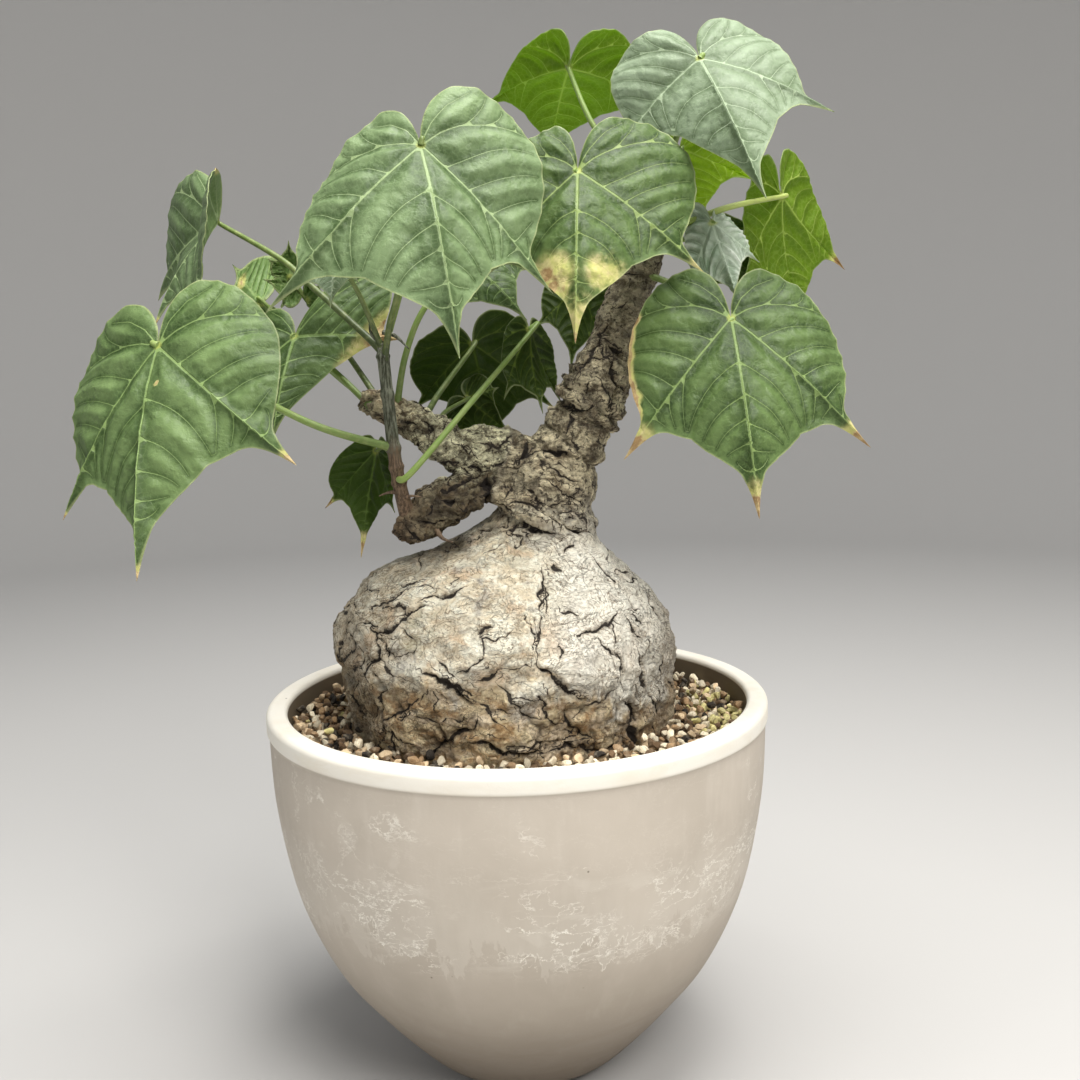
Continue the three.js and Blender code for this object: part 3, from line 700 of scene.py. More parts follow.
def joined(parts):
    """Points and faces of several parts as one."""
    points, faces, start = [], [], 0
    for part_points, part_faces, *_ in parts:
        faces.extend(tuple(start + i for i in face) for face in part_faces)
        points.append(part_points)
        start += len(part_points)
    return np.concatenate(points), faces


def swept(stations, sides, steps, swell=None):
    """The rings of a tube through (x, y, z, radius) stations; swell(t, turn) varies the radius."""
    line = smooth_curve(stations, steps)
    rings, aside = [], np.array([0.0, 1.0, 0.0])
    turns = np.linspace(0, 2 * math.pi, sides, endpoint=False)
    for k, (*at, r) in enumerate(line):
        along = line[min(k + 1, steps), :3] - line[max(k - 1, 0), :3]
        along /= np.linalg.norm(along)
        aside = aside - along * aside.dot(along)
        aside /= np.linalg.norm(aside)
        over = np.cross(along, aside)
        radii = r * (swell(k / steps, turns) if swell else np.ones(sides))
        ring = np.outer(radii * np.cos(turns), aside) + np.outer(radii * np.sin(turns), over)
        rings.append(np.array(at) + ring)
    return rings


def gnarls(t, turns):
    return 1 + 0.09 * np.sin(21 * t) * np.sin(2 * turns + 5 * t) + 0.04 * np.sin(3 * turns)


def collars(t, turns):
    return 1 + 0.06 * np.sin(34 * t + 0.8 * np.sin(turns)) + 0.03 * np.sin(3 * turns)


def smooth_step(low, high, value):
    t = np.clip((value - low) / (high - low), 0, 1)
    return t * t * (3 - 2 * t)


def bell(value, middle, wide):
    return np.exp(-(((value - middle) / wide) ** 2))


caudex_rings = []
turns = np.linspace(0, 2 * math.pi, 160, endpoint=False)
for level, middle, r in smooth_curve(CAUDEX_LEVELS, 110):
    fold = 1 + 0.018 * np.sin(5 * turns + level / 19) * math.sin(level / 23)
    fold -= 0.035 * bell(turns, 5.75, 0.12) * (1 if level < 236 else 0.2)
    fold -= 0.03 * bell(turns, 3.62, 0.14) * (1 if level < 216 else 0.2)
    ring = [middle + r * fold * np.cos(turns), -2 + CAUDEX_FLATTEN * r * fold * np.sin(turns)]
    caudex_rings.append(np.stack([*ring, np.full(len(turns), level)], 1))
wood_parts = [caudex_rings, swept(TRUNK, 48, 110, collars), swept(BRANCH, 40, 80, gnarls),
              swept(STUB, 40, 60, gnarls), swept(KNOB, 24, 16),
              *(swept(roll, 20, 30) for roll in ROLLS)]
wood_points, wood_faces = joined([lofted(rings) for rings in wood_parts])
wood = make_mesh("wood_bark", wood_points * MM, wood_faces)
fuse = wood.modifiers.new("fuse", "REMESH")
fuse.mode = "VOXEL"
fuse.voxel_size = BARK_GRAIN * MM
fused = as_shown(wood)
wood.modifiers.clear()
wood.data = fused

count = len(fused.vertices)


def per_vertex(field):
    values = np.empty(count * 3)
    fused.vertices.foreach_get(field, values)
    return values.reshape(-1, 3)


spots = per_vertex("co") / MM
normals = per_vertex("normal")


def field(size, octaves=1, shift=0.0, stretch=(1, 1, 1)):
    """Noise at each point of the wood, about -1 to 1, with features of that size."""
    places = spots / (size * np.array(stretch)) + shift
    return np.array([noise.fractal(p, 1.0, 2.0, octaves) for p in places.tolist()])


def nearness(path):
    """How many radii each point lies from a middle line, and the height of the nearest spot."""
    best, level = np.full(count, 1e9), np.zeros(count)
    for x, y, z, r in path:
        ratio = np.linalg.norm(spots - (x, y, z), axis=1) / r
        closer = ratio < best
        best[closer] = ratio[closer]
        level[closer] = z
    return best, level


trunk_near, trunk_level = nearness(smooth_curve(TRUNK[2:], 90))
branch_near = nearness(smooth_curve(BRANCH[2:], 50))[0]
stub_near = nearness(smooth_curve(STUB[1:], 40))[0]
above_caudex = smooth_step(262, 284, spots[:, 2])
is_arm = smooth_step(-0.15, 0.15, trunk_near - np.minimum(branch_near, stub_near))
is_arm *= smooth_step(258, 270, spots[:, 2])
is_trunk = above_caudex * (1 - is_arm)
is_caudex = (1 - above_caudex) * (1 - is_arm)

wander = np.stack([field(5, 3, shift) for shift in (3.1, 7.7, 11.3)], 1)
lift, dark = np.zeros((2, count))
crack_edge = np.full(count, 1e9)
crack_gap = np.full(count, 9.0)
crack_width = np.full(count, 0.1)


def carve(route, depth, width):
    """Cuts a jagged crack along a route on the skin, with the bark a little proud above it."""
    line = smooth_curve(route, 10 * len(route))
    last = len(line) - 1
    low, high = line.min(0) - CRACK_REACH, line.max(0) + CRACK_REACH
    near = np.where(((spots > low) & (spots < high)).all(1))[0]
    here = spots[near] + CRACK_WANDER * wander[near]
    gap = np.full(len(near), 1e9)
    reach, taper = gap.copy(), np.ones(len(near))
    side, above = np.ones(len(near)), np.zeros(len(near))
    for k, at in enumerate(line):
        distance = np.linalg.norm(here - at, axis=1)
        closer = distance < gap
        gap[closer] = distance[closer]
        taper[closer] = 0.3 + 0.7 * min(1, min(k, last - k) / (0.25 * last))
        along = line[min(k + 1, last)] - line[max(k - 1, 0)]
        over = np.cross(along, normals[near[closer]])
        over /= np.linalg.norm(over, axis=1, keepdims=True) + 1e-9
        across = ((here[closer] - at) * over).sum(1)
        reach[closer] = np.abs(across) if 0 < k < last else distance[closer]
        side[closer] = np.where(across < 0, -1, 1)
        above[closer] = across * over[:, 2] > 0
    cleft = bell(reach, 0, max(width, NARROWEST_CLEFT) * taper) * min(1, width / 0.7)
    proud = above * bell(gap, 0, PROUD_WIDTH)
    lift[near] += taper * depth * (0.3 * proud - cleft)
    edge = reach - width * taper
    nearer = edge < crack_edge[near]
    crack_edge[near[nearer]] = edge[nearer]
    crack_gap[near[nearer]] = (side * reach)[nearer]
    crack_width[near[nearer]] = (width * taper)[nearer]


fused_skin = BVHTree.FromPolygons(spots.tolist(), [p.vertices[:] for p in fused.polygons])


def as_seen(x, y):
    """The point of the wood's skin that the photograph shows at a pixel."""
    middle = PHOTO_PIXELS / 2
    sight = (x - middle) * camera_right - (y - middle) * camera_up + FOCAL_PIXELS * ahead
    eye = camera.matrix_world.translation / MM
    hit = fused_skin.ray_cast(eye, sight)[0]
    if hit is None:
        hit = fused_skin.find_nearest(eye + sight * (-12 - eye.y) / sight.y)[0]
    return tuple(hit)


def on_caudex(degrees, level):
    heights, middles, radii = np.array(CAUDEX_LEVELS).T
    middle, r = np.interp(level, heights, middles), np.interp(level, heights, radii)
    turn = math.radians(degrees)
    return (middle + r * math.cos(turn), -2 + CAUDEX_FLATTEN * r * math.sin(turn), level)


for (left, top, enlarged), lines in NOTED_CRACKS.items():
    for line in lines.split("\n")[1:-1]:
        depth, width, *pixels = map(float, line.split())
        pixels = zip(pixels[::2], pixels[1::2])
        carve([as_seen(left + x / enlarged, top + y / enlarged) for x, y in pixels], depth, width)
for (depth, width), route in BACK_CRACKS:
    carve([on_caudex(*at) for at in route], depth, width)

# Many lesser cracks: level on the left of the caudex, upright on its right, any way above it.
chance = is_caudex * np.where(spots[:, 1] < -20, 0.18, 0.5) + 2 * (is_trunk + is_arm)
chance += 0.9 * is_caudex * (spots[:, 0] < -42)
chance *= spots[:, 2] > 165
starts = np.random.default_rng(5).choice(count, CRACK_COUNT, p=chance / chance.sum())
rng = random.Random(29)
for at in starts:
    level_way = np.cross(normals[at], (0, 0, 1)) * rng.choice((-1, 1))
    upright = 0.75 if spots[at, 0] > 38 and is_caudex[at] > 0.5 else 0.25
    if rng.random() < upright:
        level_way = np.array([0, 0, rng.choice((-1.0, 1.0))])
    heading = level_way + np.array([rng.gauss(0, 0.35) for _ in range(3)])
    small = 1 if is_caudex[at] > 0.5 else 0.6
    route = [spots[at]]
    for _ in range(rng.randint(3, 9)):
        heading += [rng.gauss(0, 0.35) for _ in range(3)]
        heading -= normals[at] * heading.dot(normals[at])
        heading /= np.linalg.norm(heading)
        at = ((spots - route[-1] - 3.2 * small * heading) ** 2).sum(1).argmin()
        route.append(spots[at])
    carve(route, small * rng.uniform(0.6, 1.8), rng.uniform(0.25, 0.55))

# Plates: warped cells, deep low on the caudex, faint above, small and scaly on the trunk. Their
# crevices are painted dark as shade.
warped = spots + 4.5 * np.stack([field(14, 2, shift) for shift in (1.5, 5.2, 9.4)], 1)


def cell_borders(size, tall, wide):
    """One on the borders between warped cells of that size, falling to zero beside them."""
    near = [noise.voronoi(p)[0] for p in (warped / (size, size, size * tall)).tolist()]
    return bell(np.array([cell[1] - cell[0] for cell in near]), 0, wide)


def valleys(size, shift, stretch):
    """One along sharp, wandering valleys that branch like splits in bark, falling to zero."""
    places = warped / (size * np.array(stretch)) + shift
    ridges = [noise.ridged_multi_fractal(p, 0.9, 2.1, 4, 1.0, 1.6) for p in places.tolist()]
    return smooth_step(1.05, 1.9, np.array(ridges))


# Paints shade into crevices, grooves and hollows: the darkest shade asked for at each point is kept.
def darken(amount):
    np.maximum(dark, amount, out=dark)


crevice = cell_borders(15, 1.25, 0.07)
lowness = smooth_step(226, 196, spots[:, 2])
broken = smooth_step(-0.15, 0.3, field(11, 2, 21.0))
plate_depth = is_caudex * (0.12 + 1.0 * lowness) * (0.15 + 0.85 * broken)
lift -= plate_depth * crevice
darken(np.minimum(1, crevice * plate_depth * 0.8))
left_flank = is_caudex * smooth_step(-34, -58, spots[:, 0])
right_flank = is_caudex * smooth_step(44, 62, spots[:, 0])
crackle = (valleys(12, 37.0, (1.3, 1.3, 0.65)) * left_flank
           + valleys(12, 53.0, (0.7, 0.7, 1.7)) * right_flank)
lift -= 0.9 * crackle
darken(0.6 * crackle**3)
splits = valleys(15, 13.0, (1.25, 1.25, 0.7)) * is_trunk + valleys(13, 29.0, (1, 1, 0.9)) * is_arm
lift -= (0.6 * is_trunk + 1.8 * is_arm) * splits
darken((0.4 * is_trunk + 0.5 * is_arm) * splits)
scales = cell_borders(5.2, 0.7, 0.13) * smooth_step(-0.1, 0.35, field(9, 2, 27.0))
lift -= (is_trunk * 0.6 + is_arm * 0.7 + is_caudex * lowness * 0.6) * scales
darken((0.6 * is_trunk + 0.6 * is_arm + 0.5 * is_caudex * lowness) * scales)

# Flakes: thin layers of bark that end in sharp, wandering edges with a shadow along them.
LAYER_STEP = 0.13
layers = field(22, 5, 40.0, (1.15, 1.15, 0.75))
flake = np.zeros(count)
for k in range(-3, 4):
    level = LAYER_STEP * k
    flake += smooth_step(level - 0.02, level + 0.02, layers) / 7
lift += is_caudex * (3.2 + 1.4 * lowness) * (flake - 0.5)
fibres = field(9, 4, 60.0, (1, 1, 0.5))
streaks = field(7, 3, 80.0, (0.6, 0.6, 2.6))
lift += is_caudex * (0.35 * fibres + 0.25 * streaks) + 1.2 * is_caudex * field(34, 2, 90.0)

# Rings, pits and knobs of the trunk; lumps and clefts of the gnarled arm. Grooves, hollows and pocks
# get painted shade.
around = trunk_level + 2.2 * field(13, 2, 33.0)
around += 0.25 * (spots[:, 0] - 20 - 0.42 * (trunk_level - 300))
for middle, proud, wide in TRUNK_RINGS:
    ring = bell(around, middle, wide)
    lift += is_trunk * proud * ring * (0.75 + 0.4 * field(10, 1, middle))
    if proud < 0:
        darken(is_trunk * ring * 0.85 * smooth_step(-0.5, 0.2, field(9, 1, middle)))
pocks = field(3.4, 3, 71.0)
lumps = field(8, 4, 61.0)
lift += is_trunk * (0.7 * field(6, 3, 51.0) + 0.35 * pocks)
lift += is_arm * (2.0 * lumps + 0.7 * pocks)
darken(0.7 * smooth_step(-0.2, -0.5, lumps) * is_arm)
darken(smooth_step(-0.24, -0.5, pocks) * (0.6 * is_trunk + 0.7 * is_arm))

spots += normals * lift[:, None]
fused.vertices.foreach_set("co", (spots * MM).ravel())
fused.polygons.foreach_set("use_smooth", [True] * len(fused.polygons))
# The first of the bark marks is the painted shade.
mark(fused, "bark_marks", np.stack([dark, is_trunk, is_arm], 1), "FLOAT_VECTOR", "vector")
mark(fused, "bark_flake", flake)
mark(fused, "bark_layers", layers / LAYER_STEP)
mark(fused, "crack_gap", crack_gap)
mark(fused, "crack_width", crack_width)
fused.update()
fused.calc_loop_triangles()
thinned = wood.modifiers.new("thinned", "DECIMATE")
thinned.ratio = BARK_TRIANGLES / len(fused.loop_triangles)
bark_mesh = as_shown(wood)
wood.modifiers.clear()
wood.data = bark_mesh

def layered(colour, *coats):
    """A colour under coats of (amount, colour), each over the ones before it."""
    for amount, coat in coats:
        colour = mix(amount, colour, coat)
    return colour


# Broken dark lines between warped cells, as thin bark splits when it dries.
fissures, given, put_out = new_group(
    "fissures", {"Vector": ["Vector"], "Scale": ["Float", 120.0], "Width": ["Float", 0.05],
                 "Warp": ["Float", 0.016]}, {"Mask": "Float"})
tree, spot = fissures, given["Vector"]
drift = add_node("TexNoise", {"Vector": spot, "Scale": 90.0, "Detail": 5.0}, "Color")
centred = add_node("VectorMath", {0: drift, 1: (0.5, 0.5, 0.5)}, operation="SUBTRACT")
moved = add_node("VectorMath", {0: centred, "Scale": given["Warp"]}, operation="SCALE")
bent = add_node("VectorMath", {0: spot, 1: moved}, operation="ADD")
gap = add_node("TexVoronoi", {"Vector": bent, "Scale": given["Scale"]}, "Distance",
               feature="DISTANCE_TO_EDGE")
breaks = between(noisy(spot, 80), 0.5, 0.58)
connect(between(gap, 0, given["Width"], 1, 0) * breaks, put_out["Mask"])

# Thin layers of bark: a height that drops in steps along wandering edges, and their shadow.
flaking, given, put_out = new_group(
    "flaking", {"Vector": ["Vector"], "Scale": ["Float", 60.0], "Layers": ["Float", 12.0]},
    {"Height": "Float", "Shadow": "Float"})
tree, spot = flaking, given["Vector"]
depth = noisy(spot, given["Scale"], 7, 0.62, 0.4) * given["Layers"]
part = calculate("FRACT", depth)
connect(calculate("FLOOR", depth) + between(part, 0, 0.2), put_out["Height"])
loose = between(noisy(spot, 75), 0.44, 0.56)
connect(between(part, 0, 0.16, 1, 0) * loose, put_out["Shadow"])

# Thin cracks, painted shadows along the edges of flakes, speckle and small lumps that every kind of
# bark here has, each to its own measure.
weathering, given, put_out = new_group(
    "weathering", {"Vector": ["Vector"], "Colour": ["Color", (0.5, 0.5, 0.5, 1)],
                   "Fine cracks and shadows": ["Float", 0.6], "Speckle": ["Float", 0.4]},
    {"Colour": "Color", "Height": "Float"})
tree, spot = weathering, given["Vector"]
wide_cracks = add_node("Group", {"Vector": stretched(spot, 0.7, 0.7, 1.3), "Scale": 80.0,
                                 "Width": 0.04}, node_tree=fissures)
broad = add_node("Group", {"Vector": stretched(spot, 0.8, 0.8, 1.4), "Scale": 52.0,
                           "Layers": 13.0}, node_tree=flaking)
narrow = add_node("Group", {"Vector": stretched(spot, 1, 1, 1.3), "Scale": 150.0,
                            "Layers": 9.0}, node_tree=flaking)
# Painted shadows along the flake edges.
edges = larger(broad.other("Shadow") * 0.85, narrow.other("Shadow") * 0.55)
lines = larger(wide_cracks * 0.7, edges)
dusty = between(noisy(spot, 85, 3), 0.42, 0.62)
shade = between(noisy(spot, 700, 4, 0.75), 0.3, 0.56, 1, 0) * dusty * given["Speckle"]
speckled = mix(shade, given["Colour"], (0.36, 0.28, 0.19), "MULTIPLY")
connect(mix(lines * given["Fine cracks and shadows"], speckled, (0.05, 0.035, 0.022)), put_out["Colour"])
lumpy = noisy(stretched(spot, 1, 1, 1.5), 320, 5, 0.65)
steps = broad * 0.45 + narrow * 0.22
connect(lumpy * 0.9 + steps - lines * 0.6, put_out["Height"])

bark, tree, shader, spot = new_material("bark")
across = add_node("SeparateXYZ", {0: spot}, "X")
height = across.other("Z")
# The painted shade of crevices, grooves and hollows, and how much of the trunk and arm each point is.
crevice_shade = add_node("SeparateXYZ", {0: read("bark_marks", "Vector")}, "X")
on_trunk, on_arm = crevice_shade.other("Y"), crevice_shade.other("Z")
on_limbs = on_trunk + on_arm
layer = read("bark_flake")
stains = noisy(stretched(spot, 0.8, 0.8, 1.2), 60, 4, 0.6, 0.5)
blotches = noisy(stretched(spot, 1.2, 1, 1), 42, 4, 0.6, 0.8)
greens = noisy(spot, 30, 4, 0.6, 0.4)
tone = noisy(stretched(spot, 0.8, 0.8, 1.3), 130, 6, 0.7)
rugged = noisy(stretched(spot, 1, 1, 1.5), 115, 8, 0.8, 0.6)
pale = layered(
    mix(between(tone, 0.4, 0.6), (1, 0.96, 0.79), (0.8, 0.69, 0.5)),
    (between(layer, 0.15, 0.6, 0.45, 0), (0.55, 0.47, 0.34)),
    (between(stains, 0.54, 0.66, 0, 0.7), (0.72, 0.52, 0.33)),
    (between(blotches, 0.56, 0.68, 0, 0.6), (0.42, 0.39, 0.35)),
    (between(greens, 0.55, 0.7, 0, 0.5), (0.46, 0.44, 0.28)),
    # Painted highlight: the pale bark turns whiter just right of the middle.
    (between(across, 0.005, 0.03, 0, 0.75), (1, 0.96, 0.84)))
brown = layered(
    mix(between(tone, 0.4, 0.6), (1, 0.84, 0.53), (0.5, 0.32, 0.15)),
    (between(stains, 0.48, 0.6, 0, 0.85), (0.9, 0.76, 0.55)),
    (between(layer, 0.3, 0.8, 0.35, 0), (0.22, 0.14, 0.075)))
right_drop = between(across, 0.015, 0.055) * 0.014
level = height + right_drop + (blotches - 0.5) * 0.07
trunk_skin = layered(
    mix(between(rugged, 0.37, 0.62), (1, 0.88, 0.59), (0.12, 0.088, 0.045)),
    (between(blotches, 0.5, 0.62, 0, 0.5), (0.4, 0.36, 0.25)),
    (between(height, 0.275, 0.3, 0.4, 0), pale),
    (between(height, 0.33, 0.39, 0, 0.5), (0.2, 0.165, 0.1)))
arm_skin = layered(
    mix(between(rugged, 0.4, 0.62), (1, 0.96, 0.64), (0.12, 0.095, 0.045)),
    # Darker below 0.3 m: partly the stub's own darker bark, partly painted shade under the branch.
    (between(height, 0.294, 0.308, 0.85, 0), (0.1, 0.066, 0.028)),
    (between(across, -0.035, -0.06, 0, 0.5), (0.5, 0.34, 0.2)))
colour = layered(
    mix(between(level, 0.207, 0.219, 1, 0), pale, brown),
    # Painted shade on the far left and far right flanks of the caudex.
    (between(across, -0.042, -0.08, 0, 0.5), (0.33, 0.28, 0.2)),
    (between(across, 0.064, 0.078, 0, 0.6), (0.33, 0.26, 0.175)),
    (on_trunk, trunk_skin),
    (on_arm, arm_skin))
# How strongly fine cracks, speckle and painted flake shadows show: more on the limbs and on the
# caudex's flanks.
wear_and_shade = between(on_limbs, 0, 1, 0.7, 0.75) + between(across, -0.035, -0.06, 0, 0.4)
wear_and_shade = wear_and_shade + between(across, 0.055, 0.07, 0, 0.25)
aged = add_node("Group", {"Vector": spot, "Colour": colour, "Fine cracks and shadows": wear_and_shade,
                          "Speckle": wear_and_shade}, node_tree=weathering)
# Painted shade in small pits on the trunk and arm.
pits = between(noisy(spot, 420, 3), 0.37, 0.42, 1, 0) * on_limbs
jagged = noisy(spot, 900, 4, 0.65) - 0.5
loose = between(noisy(spot, 75), 0.44, 0.56)
# Painted shadow along the foot of each flake step.
foot = between(calculate("FRACT", read("bark_layers") + jagged * 0.5), 0.74, 0.92) * loose
foot = foot * between(on_limbs, 0, 1, 0.7, 0)
opening = read("crack_width") * between(noisy(spot, 190, 3), 0.32, 0.66, 0.25, 1.7)
crack = abs(read("crack_gap") + jagged * 1.1) / opening
# Painted shade: near-black inside each crack and in the crevices.
crack_shade = larger(between(crack, 0.6, 1.15, 0.97, 0), crevice_shade * 0.8)
colour = layered(
    aged,
    (between(crack, 1, 3.5, 0.45, 0), (0.26, 0.19, 0.11)),
    (foot, (0.2, 0.14, 0.08)),
    (pits * 0.8, (0.06, 0.042, 0.025)),
    (crack_shade, (0.022, 0.015, 0.01)))
relief = aged.other("Height") - (pits + crack_shade) + wear_and_shade * (rugged * -2.2)
cover(shader, colour, between(tone, 0.3, 0.7, 0.72, 0.95), relief, 0.9, 0.0014)
bark_mesh.materials.clear()
bark_mesh.materials.append(bark)
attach(wood, "root")
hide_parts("wood")

# Side shoot
# A slim upright shoot on the end of the curled stub, brown at its foot and streaked grey-green
# above, with a swollen joint wherever a leaf stalk leaves it.
SHOOT = [
    (-50, -19, 284, 4), (-52, -26, 298, 3.3), (-54, -28, 315, 3.1), (-56, -28, 340, 2.8),
    (-57.5, -27, 360, 2.8), (-58, -27, 367, 1.6),
]
SHOOT_JOINTS = (0.24, 0.33, 0.42, 0.62, 0.8, 0.93)
SHOOT_SCALES = [
    [(-57, -28, 371, 1.2), (-51, -29.5, 369, 0.9), (-45, -30, 363, 0.25)],
    [(-58, -27, 366, 1.2), (-62, -29, 370, 0.8), (-63, -30, 375, 0.2)],
    [(-52, -27, 296, 1.2), (-57, -28, 296.5, 0.8), (-62, -29, 295, 0.2)],
    [(-51, -26, 293, 1.2), (-47, -28, 294.5, 0.7), (-42, -28.5, 294, 0.2)],
    [(-36, -24, 278, 1.5), (-33, -27.5, 274, 0.9), (-28, -28.5, 272, 0.25)],
]

def jointed(t, turns):
    swell = 1 + 0.04 * np.sin(3 * turns + 9 * t)
    for joint in SHOOT_JOINTS:
        swell = swell + 0.22 * bell(t, joint, 0.016)
    return swell


shoot_parts = [swept(SHOOT, 28, 150, jointed), *(swept(route, 8, 12) for route in SHOOT_SCALES)]
shoot_points, shoot_faces = joined([lofted(rings) for rings in shoot_parts])
shoot = make_mesh("side_shoot", shoot_points * MM, shoot_faces)
shoot_skin, tree, shader, spot = new_material("shoot_skin")
height = add_node("SeparateXYZ", {0: spot}, "Z")
streaks = noisy(stretched(spot, 1, 1, 0.16), 900, 4, 0.6)
green = mix(between(streaks, 0.4, 0.6), (0.045, 0.05, 0.028), (0.21, 0.22, 0.16))
woody = mix(between(streaks, 0.38, 0.62), (0.21, 0.14, 0.085), (0.075, 0.048, 0.028))
ripening = height + noisy(spot, 120) * 0.02
colour = mix(between(ripening, 0.318, 0.334), woody, green)
aged = add_node("Group", {"Vector": spot, "Colour": colour, "Fine cracks and shadows": 0.3,
                          "Speckle": 0.5}, node_tree=weathering)
cover(shader, aged, 0.75, aged.other("Height"), 0.4, 0.0005)
shoot.data.materials.append(shoot_skin)
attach(shoot, "root")
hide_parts("wood")

# Leaves
# Each blade is a thin sheet with three lobes that end in drip tips and two round lobes behind.
# Veins fan from the top of the stalk, sunk above and raised below, and the skin swells between
# them. Old tips and some margins have dried to straw or brown.
BLADE_THICKNESS = 0.7
STALK_RADIUS = 1.7
LOBE_ANGLE = 44
SHOULDER_ANGLE = 134
LOBE_REACH = 0.9
SHOULDER_REACH = 0.4
# How high the skin swells between all veins and between the main ones, and from how near.
QUILTING = (0.03, 0.066)
BULGE = (0.014, 0.1)
# How much a blade arches, waves at its margin and crumples, in shares of its length.
ARCH = 0.07
WAVE = 0.012
CRUMPLE = 0.007
# A rib's height and half width under a vein, in millimetres.
RIB_HEIGHT = 0.55
RIB_WIDTH = 1.2
# The blade thins to less than half within this share of its length from the margin.
THIN_MARGIN = 0.02
MARGIN_SHARE = 0.45
SHARP_ANGLE = math.radians(55)
LEAF_MARKS = ("leaf_vein", "leaf_edge", "leaf_dry", "leaf_upper", "leaf_reach")
EDGE_ANGLES = [0, 12, 25, 36, 44, 52, 64, 80, 100, 118, 134, 146, 156, 164, 170]
EDGE_REACH = [0.8, 0.71, 0.64, 0.66, 0.7, 0.66, 0.6, 0.53, 0.47, 0.44, 0.4, 0.34, 0.25, 0.14, 0.05]
# The veins of a back lobe and of the notch beside the stalk: angles, then shares of the length.
BACK_VEIN = ([119, 118, 113, 107, 102, 98.0], [0, 0.1, 0.2, 0.3, 0.4, 0.475])
SHORT_VEIN = ([150, 148, 141, 134.0], [0, 0.12, 0.24, 0.36])
# Side veins of one half, in shares of the leaf's length: from the midrib, from the side
# lobe's vein to either side of it, and from the vein of the back lobe.
MIDRIB_ARCS = [(0.26, 27), (0.42, 19), (0.55, 14), (0.67, 9.5), (0.78, 6)]
INNER_ARCS = [(0.44, 29.5), (0.6, 34), (0.74, 38)]
OUTER_ARCS = [(0.2, 88), (0.36, 78), (0.52, 69), (0.68, 60), (0.82, 53)]
BACK_ARCS = [(0.42, 126), (0.65, 113), (0.84, 104)]
